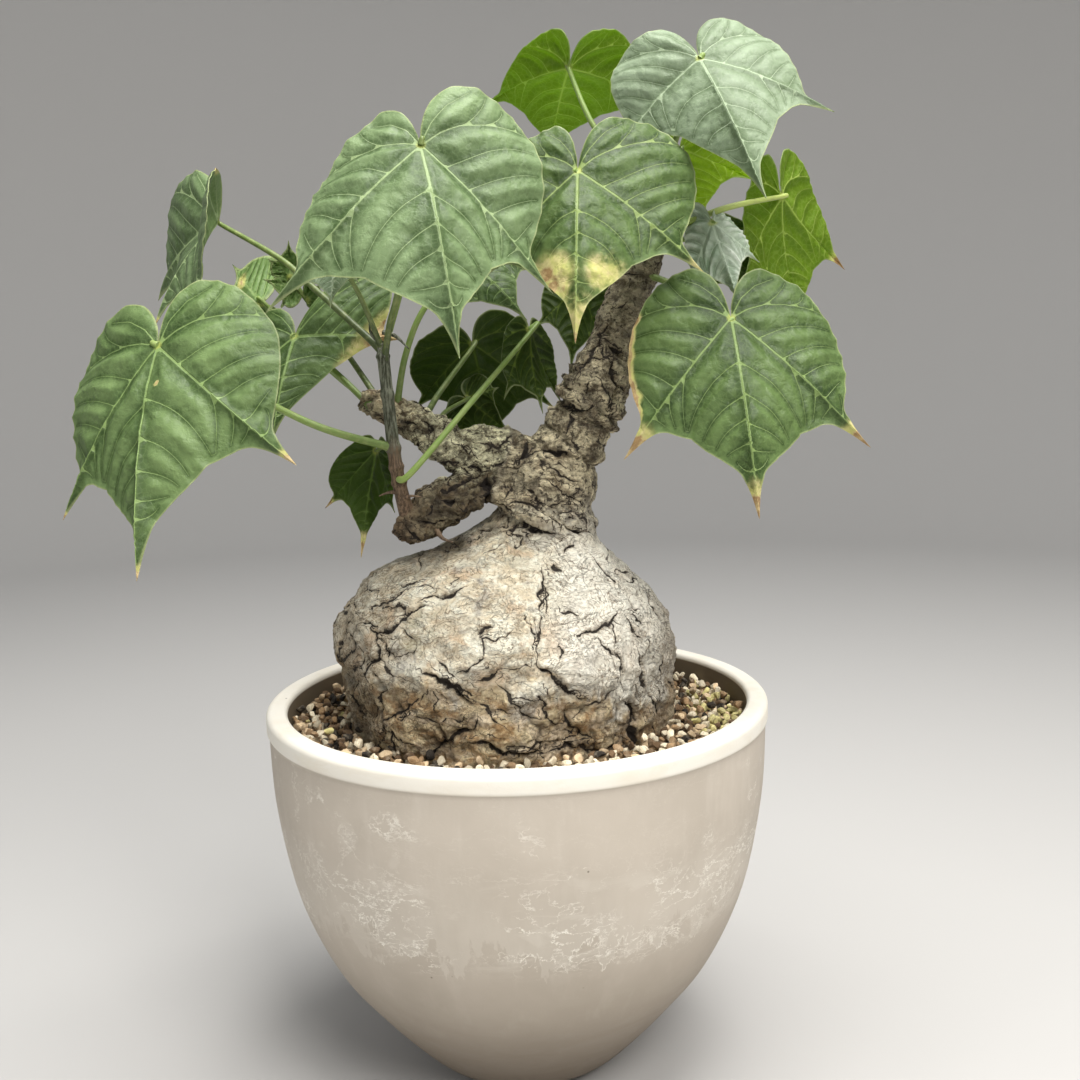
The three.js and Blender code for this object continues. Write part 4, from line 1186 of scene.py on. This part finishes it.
# For each leaf: the foot of its blade, then how far its tip, side lobes and back lobes reach
# from there, how full each half is, how stout the stalk is and the way it takes, the finish,
# and its dry patches as (angle from the midrib, share of the way out, size, strength).
LEAVES = {
    "leaf_low_left": dict(
        at=(-151, -62, 367), tip=(-5, -38, -97), left=(-46, -4, -75), right=(62, -30, -50),
        back_left=(-27, 22, 11), back_right=(25, 10, 27), full=(0, 0.12), stout=1.15,
        stalk=[(-53, -27, 317), (-82, -40, 327), (-106, -44, 339)],
        finish="leaf",
        dry=[(-44, 1, 0.06, 1), (0, 1, 0.045, 1), (44, 1, 0.03, 1), (-12, 0.28, 0.009, 0.75)]),
    "leaf_edge_left": dict(
        crumple=0.002, at=(-139, 8, 426), tip=(-30, -10, -49), left=(-46, 54, -34), right=(2, -50, -40),
        back_left=(-15, 26, 28), back_right=(8, -30, 21), full=(0.15, 0.1),
        stalk=[(-57, -27, 362), (-91, -12, 393), (-107, -6, 407)],
        finish="leaf", look="leaf_sage",
        dry=[(-44, 1, 0.06, 1), (0, 1, 0.05, 1), (-134, 1, 0.05, 0.6)]),
    "leaf_folded_left": dict(
        at=(-102, -6, 370), tip=(-9, -22, -48), left=(-33, 4, -30), right=(50, 6, -2),
        back_left=(-13, 10, 13), back_right=(28, 14, 33),
        stalk=[(-66, -12, 336), (-84, -3, 353)],
        quilted=0.02, finish="leaf", dry=[(-44, 0.84, 0.15, 0.85)]),
    "leaf_tucked_left": dict(
        at=(-122, 16, 387), tip=(-21, -20, -6), left=(-9, -14, -22), right=(-12, -4, 19),
        back_left=(9, 16, -10), back_right=(6, 20, 19), stout=0.8,
        stalk=[(-67, -4, 337), (-92, 16, 356)], finish="leaf", dry=[(-40, 0.8, 0.08, 0.7)]),
    "leaf_big_left": dict(
        at=(-32, -78, 446), tip=(16, -46, -87), left=(-64, -22, -67), right=(52, 2, -60),
        back_left=(-23, 12, 10), back_right=(22, 16, 24), full=(-0.06, 0.2),
        stalk=[(-57, -27, 357), (-53, -34, 374), (-46, -50, 392)],
        finish="leaf", look="leaf_sage", dry=[]),
    "leaf_pale_small": dict(
        at=(-73, -52, 406), tip=(-1, -18, -25), left=(-17, -6, -16), right=(9, 2, -14),
        back_left=(-9, 10, 6), back_right=(5, 12, 7), stout=0.8,
        stalk=[(-58, -27, 364), (-66, -36, 388)], finish="leaf_pale", dry=[]),
    "leaf_centre": dict(
        at=(34, -42, 439), tip=(-4, -46, -76), left=(-46, -6, -48), right=(53, -8, -45),
        back_left=(-14, 8, 19), back_right=(23, 16, 24), full=(0.1, 0.25),
        stalk=[(67, -4, 408), (58, -24, 424)],
        finish="leaf", look="leaf_yellowing",
        dry=[(0, 0.93, 0.16, 0.42), (12, 0.92, 0.11, 0.36), (-13, 0.9, 0.09, 0.36),
             (17, 0.95, 0.05, 0.64), (11, 0.99, 0.045, 0.6), (5, 0.92, 0.03, 0.5),
             (0, 1, 0.04, 0.62), (-44, 1, 0.12, 0.38), (44, 1, 0.1, 0.35)]),
    "leaf_top_back": dict(
        at=(33, 25, 497), tip=(-10, 67, -33), left=(49, 39, -15), right=(-45, 39, -11),
        back_left=(17, -7, 16), back_right=(-8, -7, 16), full=(0, -0.05),
        stalk=[(71, 3, 416), (62, 12, 445), (44, 15, 468)], finish="leaf_lit", dry=[]),
    "leaf_top_right": dict(
        at=(92, -15, 491), tip=(20, -59, -69), left=(-37, 9, -38), right=(58, -15, -27),
        back_left=(-22, 11, 14), back_right=(13, 19, 21), full=(0.15, 0.05),
        stalk=[(73, 0, 418), (80, 4, 450)], quilted=0.014,
        finish="leaf_pale", look="leaf_misty", dry=[]),
    "leaf_lit_right": dict(
        at=(88, 30, 458), tip=(17, 32, -32), left=(45, 42, -11), right=(-20, 10, -30),
        back_left=(19, 10, 14), back_right=(-15, 0, 10),
        stalk=[(72, 4, 414), (78, 16, 440)], finish="leaf_lit", look="leaf_glowing", dry=[]),
    "leaf_far_right": dict(
        at=(135, 12, 432), tip=(17, 32, -64), left=(41, 40, -34), right=(-18, 8, -41),
        back_left=(7, 12, 24), back_right=(-11, -12, 17), full=(-0.1, 0.1),
        stalk=[(71, 2, 413), (104, -5, 425)], finish="leaf_lit", dry=[(44, 1, 0.12, 1)]),
    "leaf_blue_small": dict(
        at=(98, -12, 418), tip=(10, -16, -38), left=(-11, 0, -31), right=(21, -6, -19),
        back_left=(-8, 12, 9), back_right=(7, 16, 5), stout=0.8,
        stalk=[(70, -2, 410), (88, -2, 412)], quilted=0.06,
        finish="leaf_pale", look="leaf_bluish", dry=[]),
    "leaf_dark_right": dict(
        at=(103, 10, 418), tip=(20, 16, -38), left=(32, 20, -17), right=(-2, 4, -35),
        back_left=(10, 2, 4), back_right=(-8, 2, 2), stout=0.8,
        stalk=[(69, 2, 406), (90, 8, 408)], finish="leaf_dark", dry=[]),
    "leaf_low_right": dict(
        at=(101, -48, 373), tip=(5, -44, -85), left=(-49, -10, -61), right=(59, -14, -58),
        back_left=(-24, 12, 20), back_right=(23, 14, 19), full=(0.08, 0.06),
        stalk=[(66, -4, 396), (84, -14, 388), (96, -30, 379)],
        finish="leaf", look="leaf_deep", scorched=[(50, 100, 0.022)],
        dry=[(0, 1, 0.11, 1), (44, 1, 0.12, 1), (-44, 1, 0.1, 1), (58, 1, 0.03, 0.7)]),
    "leaf_dark_centre": dict(
        at=(-19, 38, 365), tip=(10, 34, -56), left=(43, 32, -37), right=(-33, 14, -34),
        back_left=(17, 4, 16), back_right=(-22, -4, 5),
        stalk=[(-42, -4, 328), (-36, 18, 340)], finish="leaf_dark", dry=[(44, 1, 0.06, 0.8)]),
    "leaf_inner": dict(
        at=(11, 6, 371), tip=(5, -6, -41), left=(15, 16, -37), right=(-14, -10, -34),
        back_left=(7, 14, 1), back_right=(-10, 8, 4),
        stalk=[(-53, -27, 303), (-46, -34, 306), (-18, -20, 337)], finish="leaf_dark", dry=[]),
    "leaf_behind_trunk": dict(
        at=(37, 34, 393), tip=(-6, -8, -43), left=(12, 2, -33), right=(-24, 0, -21),
        back_left=(13, 6, 9), back_right=(-10, 6, 9),
        stalk=[(65, 2, 398), (54, 18, 402)], finish="leaf_dark", dry=[]),
    "leaf_small_low": dict(
        at=(-66, 0, 314), tip=(-8, -14, -51), left=(6, 16, -33), right=(-27, 4, -28),
        back_left=(5, 14, -1), back_right=(-13, 6, 3), full=(0, 0.1), stout=0.8,
        stalk=[(-54, -28, 312), (-60, -16, 317)],
        finish="leaf", look="leaf_shaded", dry=[(0, 1, 0.14, 1), (-44, 1, 0.12, 1)]),
    "leaf_strip_centre": dict(
        at=(-17, -10, 403), tip=(27, -18, -28), left=(-6, -14, -25), right=(32, 4, -4),
        back_left=(-9, 10, 6), back_right=(7, 14, 11),
        stalk=[(-54, -11, 334), (-48, -18, 360), (-37, -20, 383)], finish="leaf", dry=[]),
    "leaf_hidden_back": dict(
        at=(-34, 0, 449), tip=(-4, 52, -37), left=(31, 34, -16), right=(-36, 34, -19),
        back_left=(15, -4, 10), back_right=(-13, -4, 11),
        stalk=[(-57, -8, 336), (-60, 8, 362), (-52, 8, 390)], finish="leaf", dry=[]),
    "leaf_dark_low": dict(
        at=(-23, 40, 337), tip=(24, 8, -21), left=(17, 6, 5), right=(-4, 4, -21),
        back_left=(2, 8, 11), back_right=(-10, -6, -4), stout=0.8,
        stalk=[(-38, -6, 323), (-33, 18, 331)], finish="leaf_dark", dry=[]),
}
# Finish: upper side, its paler patches, lower side, veins, and the light that comes through.
# Several are copies of another finish, lit ones with painted light and shaded ones with painted shade.
FINISHES = {
    "leaf": ((0.036, 0.075, 0.014), (0.185, 0.275, 0.1), (0.15, 0.25, 0.07),
             (0.27, 0.39, 0.13), (0.3, 0.5, 0.06)),
    # A copy of the leaf finish with painted shade, darker on top.
    "leaf_deep": ((0.024, 0.052, 0.009), (0.135, 0.21, 0.065), (0.15, 0.25, 0.07),
                  (0.24, 0.34, 0.11), (0.25, 0.42, 0.05)),
    # A lighter copy of the leaf finish: painted light and sheen.
    "leaf_sage": ((0.06, 0.105, 0.032), (0.235, 0.33, 0.155), (0.17, 0.26, 0.09),
                  (0.34, 0.45, 0.21), (0.32, 0.52, 0.08)),
    "leaf_yellowing": ((0.026, 0.056, 0.01), (0.125, 0.195, 0.06), (0.2, 0.3, 0.08),
                       (0.26, 0.35, 0.11), (0.4, 0.6, 0.08)),
    "leaf_pale": ((0.2, 0.28, 0.155), (0.45, 0.56, 0.38), (0.2, 0.3, 0.14),
                  (0.5, 0.6, 0.4), (0.35, 0.58, 0.12)),
    "leaf_misty": ((0.135, 0.185, 0.1), (0.3, 0.38, 0.25), (0.2, 0.3, 0.14),
                   (0.4, 0.5, 0.32), (0.35, 0.58, 0.12)),
    # A much lighter copy of leaf_pale, near white in its pale patches: painted light.
    "leaf_bluish": ((0.3, 0.42, 0.28), (0.95, 1.0, 0.9), (0.2, 0.3, 0.16),
                    (0.6, 0.7, 0.55), (0.35, 0.55, 0.2)),
    "leaf_lit": ((0.06, 0.12, 0.008), (0.12, 0.2, 0.015), (0.125, 0.21, 0.01),
                 (0.45, 0.58, 0.12), (0.5, 0.75, 0.03)),
    "leaf_glowing": ((0.14, 0.26, 0.01), (0.24, 0.39, 0.015), (0.24, 0.4, 0.015),
                     (0.5, 0.66, 0.12), (0.75, 0.98, 0.04)),
    "leaf_shaded": ((0.028, 0.055, 0.006), (0.07, 0.115, 0.014), (0.05, 0.085, 0.012),
                    (0.15, 0.23, 0.045), (0.2, 0.36, 0.02)),
    # Painted shade: leaves deep among the others, behind the trunk.
    "leaf_dark": ((0.02, 0.038, 0.003), (0.06, 0.092, 0.009), (0.035, 0.06, 0.008),
                  (0.14, 0.2, 0.03), (0.16, 0.3, 0.015)),
}
# Leaves that others shade shine less.
DULL = ("leaf_lit", "leaf_glowing", "leaf_shaded", "leaf_dark")

def edge_reach(size):
    """Reach of the pattern leaf's margin at an angle from its midrib."""
    drips = 0.2 * np.exp(-size / 1.6) + 0.2 * np.exp(-abs(size - LOBE_ANGLE) / 1.7)
    return np.interp(size, EDGE_ANGLES, EDGE_REACH) + drips


def polar(angle, reach):
    turn = np.radians(angle)
    return np.stack([reach * np.sin(turn), reach * np.cos(turn)], -1)


def respaced(path, step):
    """The path with its points an even step apart, ends kept."""
    legs = np.linalg.norm(np.diff(path, axis=0), axis=1)
    along = np.concatenate([[0], np.cumsum(legs)])
    places = np.linspace(0, along[-1], max(2, round(along[-1] / step) + 1))
    return np.stack([np.interp(places, along, path[:, i]) for i in range(2)], 1)


def pattern_veins(step, draw):
    """(path, width at its foot, width at its end, rank) of every vein of a pattern leaf."""
    side, veins = 1, []

    def vein(path, foot, end, rank):
        veins.append((respaced(np.array(path) * (side, 1), step), foot, end, rank))

    def side_vein(start, control, end, foot):
        t = np.linspace(0, 1, 30)[:, None]
        vein((1 - t) ** 2 * start + 2 * t * (1 - t) * control + t**2 * end, foot, 0.1, 2)

    def margin(angle):
        return polar(angle, 0.95 * edge_reach(np.array(float(angle))))

    vein([(0, 0), (0, 0.985)], 1.0, 0.22, 0)
    lobe = polar(LOBE_ANGLE, 0.885)
    for side in (1, -1):
        vein([(0, 0), lobe], 0.85, 0.2, 0)
        vein(polar(*map(np.array, BACK_VEIN)), 0.6, 0.16, 1)
        vein(polar(*map(np.array, SHORT_VEIN)), 0.42, 0.14, 1)
        for share, angle in MIDRIB_ARCS:
            start = np.array([0, share + draw.uniform(-0.02, 0.02)])
            end = margin(angle + draw.uniform(-1, 1))
            control = np.array([0.68 * end[0], start[1] + 0.3 * (end[1] - start[1])])
            side_vein(start, control, end, 0.34)
        for share, angle in INNER_ARCS:
            start = lobe * (share + draw.uniform(-0.02, 0.02))
            end = margin(angle + draw.uniform(-0.8, 0.8))
            side_vein(start, (start + end) / 2 + (0.02, -0.03), end, 0.3)
        for share, angle in OUTER_ARCS:
            start = lobe * (share + draw.uniform(-0.02, 0.02))
            end = margin(angle + draw.uniform(-1.5, 1.5))
            sag = -0.2 * np.linalg.norm(end - start)
            side_vein(start, (start + end) / 2 + (0.02, sag), end, 0.32)
        for share, angle in BACK_ARCS:
            share += draw.uniform(-0.04, 0.04)
            start = polar(np.interp(share, [0.2, 1], [118, 98]), 0.475 * share)
            end = margin(angle + draw.uniform(-2, 2))
            side_vein(start, (start + end) / 2 + (0.03, 0.02), end, 0.26)
    return veins


def gap_to(points, path):
    """How far each point lies from a path, and the share along the path of the nearest spot."""
    best, share = np.full(len(points), 1e9), np.zeros(len(points))
    for k in range(len(path) - 1):
        leg = path[k + 1] - path[k]
        t = np.clip((points - path[k]) @ leg / (leg @ leg), 0, 1)
        gap = np.linalg.norm(points - path[k] - t[:, None] * leg, axis=1)
        closer = gap < best
        best[closer] = gap[closer]
        share[closer] = (k + t[closer]) / (len(path) - 1)
    return best, share


def pattern_leaf(step, seed):
    """A flat leaf of length 1: points, triangles, and what each point is near."""
    draw = random.Random(seed)
    outline = []
    keys = [170, LOBE_ANGLE, 0, -LOBE_ANGLE, -170]
    for start, end in zip(keys, keys[1:]):
        angles = np.linspace(start, end, 500)
        outline.extend(respaced(polar(angles, edge_reach(abs(angles))), step)[:-1])
    outline.append(polar(-170.0, edge_reach(np.array(170.0))))
    outline.append(np.zeros(2))
    outline = np.array(outline)
    veins = pattern_veins(step, draw)
    rows = []
    for row, y in enumerate(np.arange(-0.45, 1, 0.866 * step)):
        for x in np.arange(-0.75 + 0.5 * step * (row % 2), 0.75, step):
            rows.append((x + draw.uniform(-0.1, 0.1) * step, y + draw.uniform(-0.1, 0.1) * step))
    grid = np.array(rows)
    angle = np.degrees(np.arctan2(grid[:, 0], grid[:, 1]))
    grid = grid[np.linalg.norm(grid, axis=1) < edge_reach(abs(angle)) - 0.5 * step]
    angle = np.degrees(np.arctan2(grid[:, 0], grid[:, 1]))
    grid = grid[abs(angle) < 169]
    loop = np.concatenate([outline, outline[:1]])
    grid = grid[gap_to(grid, loop)[0] > 0.6 * step]
    for path, *_ in veins:
        grid = grid[gap_to(grid, path)[0] > 0.5 * step]
    points = [*map(tuple, outline)]
    edges = [(i, (i + 1) % len(outline)) for i in range(len(outline))]
    for path, *_ in veins:
        edges.extend((len(points) + i, len(points) + i + 1) for i in range(len(path) - 1))
        points.extend(map(tuple, path))
    points.extend(map(tuple, grid))
    flat = geometry.delaunay_2d_cdt(
        [Vector(p) for p in points], edges, [list(range(len(outline)))], 1, 1e-5)
    spots = np.array([tuple(p) for p in flat[0]])
    triangles = np.array([f for f in flat[2] if len(f) == 3])
    near_vein = np.full(len(spots), 1e9)
    in_widths = np.full(len(spots), 1e9)
    near_main = np.full(len(spots), 1e9)
    for path, foot, end, rank in veins:
        gap, share = gap_to(spots, path)
        near_vein = np.minimum(near_vein, gap)
        in_widths = np.minimum(in_widths, gap / (foot + (end - foot) * share))
        if rank < 2:
            near_main = np.minimum(near_main, gap)
    return dict(spots=spots, triangles=triangles, vein=near_vein, widths=in_widths,
                main=near_main, edge=gap_to(spots, loop)[0])


def blade_rays(leaf, angles):
    """From the blade's foot to its margin at each angle: the pattern leaf's sectors, each
    stretched to this leaf's own tip, side lobe and back lobe."""
    size = abs(angles)
    left = (angles >= 0)[:, None]
    lobe = np.where(left, leaf["left"], leaf["right"]) / LOBE_REACH
    shoulder = np.where(left, leaf["back_left"], leaf["back_right"]) / SHOULDER_REACH
    tip = np.tile(np.array(leaf["tip"], float), (len(angles), 1))
    rays = np.zeros((len(angles), 3))
    for low, high, a, b in ((0, LOBE_ANGLE, tip, lobe),
                            (LOBE_ANGLE, SHOULDER_ANGLE, lobe, shoulder),
                            (SHOULDER_ANGLE, 180.001, shoulder, -tip)):
        here = (size >= low) & (size <= high)
        whole = math.sin(math.radians(high - low))
        first = np.sin(np.radians(high - size)) / whole
        second = np.sin(np.radians(size - low)) / whole
        rays[here] = (first[:, None] * a + second[:, None] * b)[here]
    full = np.where(angles >= 0, *leaf.get("full", (0, 0)))
    fuller = 1 + full * np.exp(-((size - 88) / 30) ** 2)
    return rays * (edge_reach(size) * fuller)[:, None]


def upper_face(leaf):
    tip = np.array(leaf["tip"], float)
    up = np.cross(leaf["left"], tip) + np.cross(tip, leaf["right"])
    return up / np.linalg.norm(up)


def skin_normals(points, triangles):
    sides = points[triangles]
    facing = np.cross(sides[:, 1] - sides[:, 0], sides[:, 2] - sides[:, 0])
    total = np.zeros_like(points)
    for i in range(3):
        np.add.at(total, triangles[:, i], facing)
    return total / np.maximum(np.linalg.norm(total, axis=1), 1e-12)[:, None]


def blade(leaf, seed):
    """Points, faces and marks of one blade, in millimetres."""
    at = np.array(leaf["at"], float)
    up = upper_face(leaf)
    length = np.linalg.norm(leaf["tip"])
    flat = pattern_leaf((0.75 + length / 135) / length, seed)
    spots, triangles = flat["spots"], flat["triangles"]
    angles = np.degrees(np.arctan2(spots[:, 0], spots[:, 1]))
    out = np.linalg.norm(spots, axis=1) / edge_reach(abs(angles))
    rays = blade_rays(leaf, angles)
    share = np.linalg.norm(rays, axis=1) / length
    arch = leaf.get("arch", ARCH) * length
    wave = WAVE * length * out**2 * np.sin(np.radians(angles) * 7 + length)
    skin = at + rays * out[:, None] + up * (4 * arch * share * out * (1 - out) + wave)[:, None]
    normals = skin_normals(skin, triangles)
    if (normals @ up).mean() < 0:
        triangles = triangles[:, ::-1]
        normals = -normals
    inward = 1 - out**6
    ripple = [noise.fractal((x * 7, y * 7, 3.7 * seed), 1.0, 2.0, 3) for x, y in spots.tolist()]
    crumple = leaf.get("crumple", CRUMPLE) * length * np.array(ripple)
    relief = leaf.get("quilted", QUILTING[0]) * length * (1 - bell(flat["vein"], 0, QUILTING[1]))
    relief += BULGE[0] * length * (1 - bell(flat["main"], 0, BULGE[1])) * inward
    relief += crumple * inward * np.minimum(1, out * 3)
    rib = RIB_HEIGHT * bell(flat["widths"] * length, 0, RIB_WIDTH) * (1.1 - 0.7 * out)
    fullness = MARGIN_SHARE + (1 - MARGIN_SHARE) * np.minimum(1, flat["edge"] / THIN_MARGIN)
    half = 0.5 * BLADE_THICKNESS * fullness
    top = skin + normals * (relief + half)[:, None]
    below = skin + normals * (relief - half - rib)[:, None]
    count = len(spots)
    sides = {(a, b) for f in triangles.tolist() for a, b in zip(f, f[1:] + f[:1])}
    faces = [*triangles.tolist(), *(triangles[:, ::-1] + count).tolist()]
    faces += [(b, a, a + count, b + count) for a, b in sorted(sides) if (b, a) not in sides]
    dry = np.zeros(count)
    for angle, way, wide, strength in leaf.get("dry", []):
        middle = polar(float(angle), way * edge_reach(np.array(abs(float(angle)))))
        miss = np.linalg.norm(spots - middle, axis=1) / wide
        dry = np.maximum(dry, strength * np.exp(-0.7 * miss**2))
    for low, high, wide in leaf.get("scorched", []):
        within = smooth_step(low - 4, low + 4, angles) * smooth_step(high + 4, high - 4, angles)
        width = wide * (1 + 0.9 * np.array(ripple))
        dry = np.maximum(dry, 0.8 * within * bell(flat["edge"], 0, width))
    marks = np.stack([flat["widths"] * length, flat["edge"] * length, dry, np.ones(count),
                      np.linalg.norm(skin - at, axis=1)], 1)
    marks = np.tile(marks, (2, 1))
    marks[count:, 3] = 0
    return np.concatenate([top, below]), faces, marks


def stalk(stations, steps):
    """A stalk, swollen where it leaves the wood and a little where it meets the blade."""
    def swell(t, turns):
        return 1 + 0.55 * bell(t, 0, 0.05) + 0.25 * bell(t, 0.95, 0.04) + 0.03 * np.cos(2 * turns)

    points, faces = lofted(swept(stations, 12, steps, swell))
    along = [*np.repeat(np.linspace(0, 1, steps + 1), 12), 0, 1]
    marks = np.zeros((len(points), len(LEAF_MARKS)))
    marks[:, 4] = along
    return points, faces, marks


def stalk_way(leaf):
    """The stations of a leaf's stalk, up to the knot on the upper face of its blade."""
    end, up = np.array(leaf["at"], float), upper_face(leaf)
    radius = STALK_RADIUS * leaf.get("stout", 1)
    stations = [(*p, radius * (1 - 0.08 * i)) for i, p in enumerate(leaf["stalk"])]
    under = 0.5 if leaf["finish"] == "leaf_lit" else 3
    stations.append((*(end - under * up), radius * 0.7))
    stations.append((*(end + 0.3 * up), radius * 0.7))
    return stations


def leaf_piece(name, blades, stalks, skins):
    """One object of blades and stalks, with the marks that their skins read."""
    points, faces = joined([*blades, *stalks])
    made = make_mesh(name, np.clip(points * MM, cad_low, cad_high), faces)
    kinds = [0] * sum(len(part[1]) for part in blades)
    kinds += [1] * (len(faces) - len(kinds))
    made.data.polygons.foreach_set("material_index", kinds)
    marks = np.concatenate([part[2] for part in (*blades, *stalks)])
    for label, column in zip(LEAF_MARKS, marks.T):
        mark(made.data, label, column)
    made.data.set_sharp_from_angle(angle=SHARP_ANGLE)
    for skin in skins:
        made.data.materials.append(skin)
    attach(made, "root")
    return made


# The skin of a blade: mottled green above and paler below, veins with a fine net between
# them, painted shade in the valleys beside the veins and painted highlights on the swells
# between them, a thin light margin, a yellow-green knot over the stalk, and dried patches.
blade_skin, given, put_out = new_group(
    "blade_skin",
    {"Vector": ["Vector"], "Upper": ["Color", (0.1, 0.2, 0.06, 1)],
     "Upper pale": ["Color", (0.2, 0.3, 0.1, 1)], "Lower": ["Color", (0.2, 0.3, 0.1, 1)],
     "Vein": ["Color", (0.4, 0.5, 0.2, 1)]},
    {"Colour": "Color", "Roughness": "Float", "Height": "Float"})
tree, spot = blade_skin, given["Vector"]
from_vein, from_edge, dry, upper, reach = [read(label) for label in LEAF_MARKS]
vein = between(from_vein, 0.35, 0.95, 0.95, 0)
beside = between(from_vein, 0.7, 2.2, 0.1, 0)
# Painted shade in the valleys beside the veins.
valley = between(from_vein, 1.2, 8, 0.62, 0)
# Painted highlight on the swells between the veins.
cushion = between(from_vein, 3, 15, 0, 0.5)
blisters = add_node("TexVoronoi", {"Vector": spot, "Scale": 210.0, "Smoothness": 0.6},
                    "Distance", feature="SMOOTH_F1")
mesh_net = add_node("TexVoronoi", {"Vector": spot, "Scale": 380.0}, "Distance",
                    feature="DISTANCE_TO_EDGE")
net = between(mesh_net, 0, 0.12, 0.16, 0)
mottle = noisy(spot, 38, 5, 0.65)
cloudy = noisy(spot, 170, 4, 0.65)
face = layered(
    given["Upper"],
    (between(mottle, 0.38, 0.64, 0, 0.5) + cushion, given["Upper pale"]),
    (between(cloudy, 0.45, 0.7, 0, 0.35), given["Upper pale"]))
face = mix(valley * between(mottle, 0.35, 0.6, 0.4, 1), face, (0.5, 0.55, 0.45), "MULTIPLY")
face = mix(net, face, given["Vein"])
back = layered(given["Lower"], (between(cloudy, 0.4, 0.7, 0, 0.3), given["Upper"]),
               (net * 1.4, given["Vein"]))
uneven = (mottle - 0.5) * 0.9 + (cloudy - 0.5) * 0.4
dryness = dry + uneven * between(dry, 0.02, 0.25)
yellow = mix(between(cloudy, 0.4, 0.65), (0.62, 0.6, 0.2), (0.72, 0.62, 0.3))
straw = mix(between(cloudy, 0.42, 0.6), (0.68, 0.53, 0.26), (0.42, 0.27, 0.12))
straw = mix(between(abs(dryness - 0.55), 0, 0.06, 0.3, 0), straw, (0.25, 0.1, 0.05))
skin = layered(
    mix(upper, back, face),
    (larger(vein, beside), given["Vein"]),
    (between(from_edge, 0.2, 0.8, 0.6, 0), (0.42, 0.47, 0.22)),
    (between(reach, 1, 2.8, 0.85, 0), (0.45, 0.5, 0.12)),
    (between(dryness, 0.08, 0.34, 0, 0.92), yellow),
    (between(dryness, 0.4, 0.56), straw))
connect(skin, put_out["Colour"])
connect(between(cloudy, 0.3, 0.7, 0.46, 0.6), put_out["Roughness"])
swell = blisters * between(noisy(spot, 90), 0.38, 0.6) * -2.2
grain = noisy(spot, 800, 2) * 0.1 + cloudy * 0.6
connect(swell + (grain - (vein + net * 0.5)), put_out["Height"])

skins = {}
for name, (upper_side, pale_side, lower_side, veins, through) in FINISHES.items():
    made, tree, shader, spot = new_material(name + "_skin")
    skin = add_node("Group", {"Vector": spot, "Upper": upper_side, "Upper pale": pale_side,
                              "Lower": lower_side, "Vein": veins}, node_tree=blade_skin)
    cover(shader, skin, skin.other("Roughness"), skin.other("Height"), 0.6, 0.0006)
    shader.inputs["Specular IOR Level"].default_value = 0.25 if name in DULL else 0.42
    glow = mix(between(read("leaf_dry"), 0.3, 0.6), through, (0.45, 0.33, 0.15))
    shine_through = add_node("BsdfTranslucent", {"Color": glow})
    share = 0.35 if name in DULL else 0.2
    both = add_node("MixShader", {0: share, 1: Wire(shader.outputs[0]), 2: shine_through})
    connect(both, tree.nodes["Material Output"].inputs["Surface"])
    skins[name] = made

# A fleshy stalk has faint streaks along it and is darker at its foot.
for name, low, high in (
    ("green_stalk", (0.13, 0.2, 0.045), (0.22, 0.32, 0.075)),
    ("bright_stalk", (0.3, 0.42, 0.1), (0.2, 0.3, 0.07)),
    ("lit_stalk", (0.26, 0.36, 0.09), (0.42, 0.5, 0.13)),
    # Painted shade: stalks in the shade of other leaves.
    ("dark_stalk", (0.06, 0.085, 0.025), (0.14, 0.2, 0.05)),
):
    made, tree, shader, spot = new_material(name)
    streaks = noisy(spot, 260, 3, 0.6)
    colour = layered(low, (between(read("leaf_reach"), 0, 0.45), high),
                     (between(streaks, 0.42, 0.7, 0, 0.4), (0.33, 0.36, 0.14)))
    cover(shader, colour, 0.45, streaks, 0.15, 0.0004)
    skins[name] = made
STALKS = {
    "leaf_inner": "bright_stalk", "leaf_top_back": "bright_stalk", "leaf_far_right": "lit_stalk",
    **dict.fromkeys(("leaf_edge_left", "leaf_pale_small", "leaf_dark_centre", "leaf_dark_low",
                     "leaf_big_left", "leaf_small_low"), "dark_stalk"),
}
for seed, (name, leaf) in enumerate(LEAVES.items()):
    look = leaf.get("look", leaf["finish"])
    piece = leaf_piece(
        name.replace("leaf_", "blade_"), [blade(leaf, seed)], [stalk(stalk_way(leaf), 56)],
        [skins[look], skins[STALKS.get(name, "green_stalk")]])
    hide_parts(name)

# Youngest leaves
# Three small blades, still crumpled, that share the end of one slim stalk.
YOUNG_LEAVES = [
    dict(at=(-106, 12, 399), tip=(2, -10, 17), left=(-9, -8, 9), right=(11, -6, 9)),
    dict(at=(-103, 13, 395), tip=(-14, -12, 3), left=(-8, -4, -11), right=(-12, -4, 6)),
    dict(at=(-99, 15, 388), tip=(9, -12, 7), left=(3, -8, 12), right=(10, -6, -3)),
]
YOUNG_STALK = [(-62, -9, 338, 1.7), (-80, 10, 362, 1.4), (-97, 17, 385, 1.3), (-106, 12, 399, 1.4)]
for leaf in YOUNG_LEAVES:
    leaf.update(arch=0.2, crumple=0.09)
    for back, lobe in (("back_left", "left"), ("back_right", "right")):
        leaf[back] = 0.5 * np.array(leaf[lobe]) - 0.35 * np.array(leaf["tip"])
young = leaf_piece("young_blades", [blade(leaf, 40 + i) for i, leaf in enumerate(YOUNG_LEAVES)],
                   [stalk(YOUNG_STALK, 56)], [skins["leaf"], skins["dark_stalk"]])
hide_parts("young_leaves")
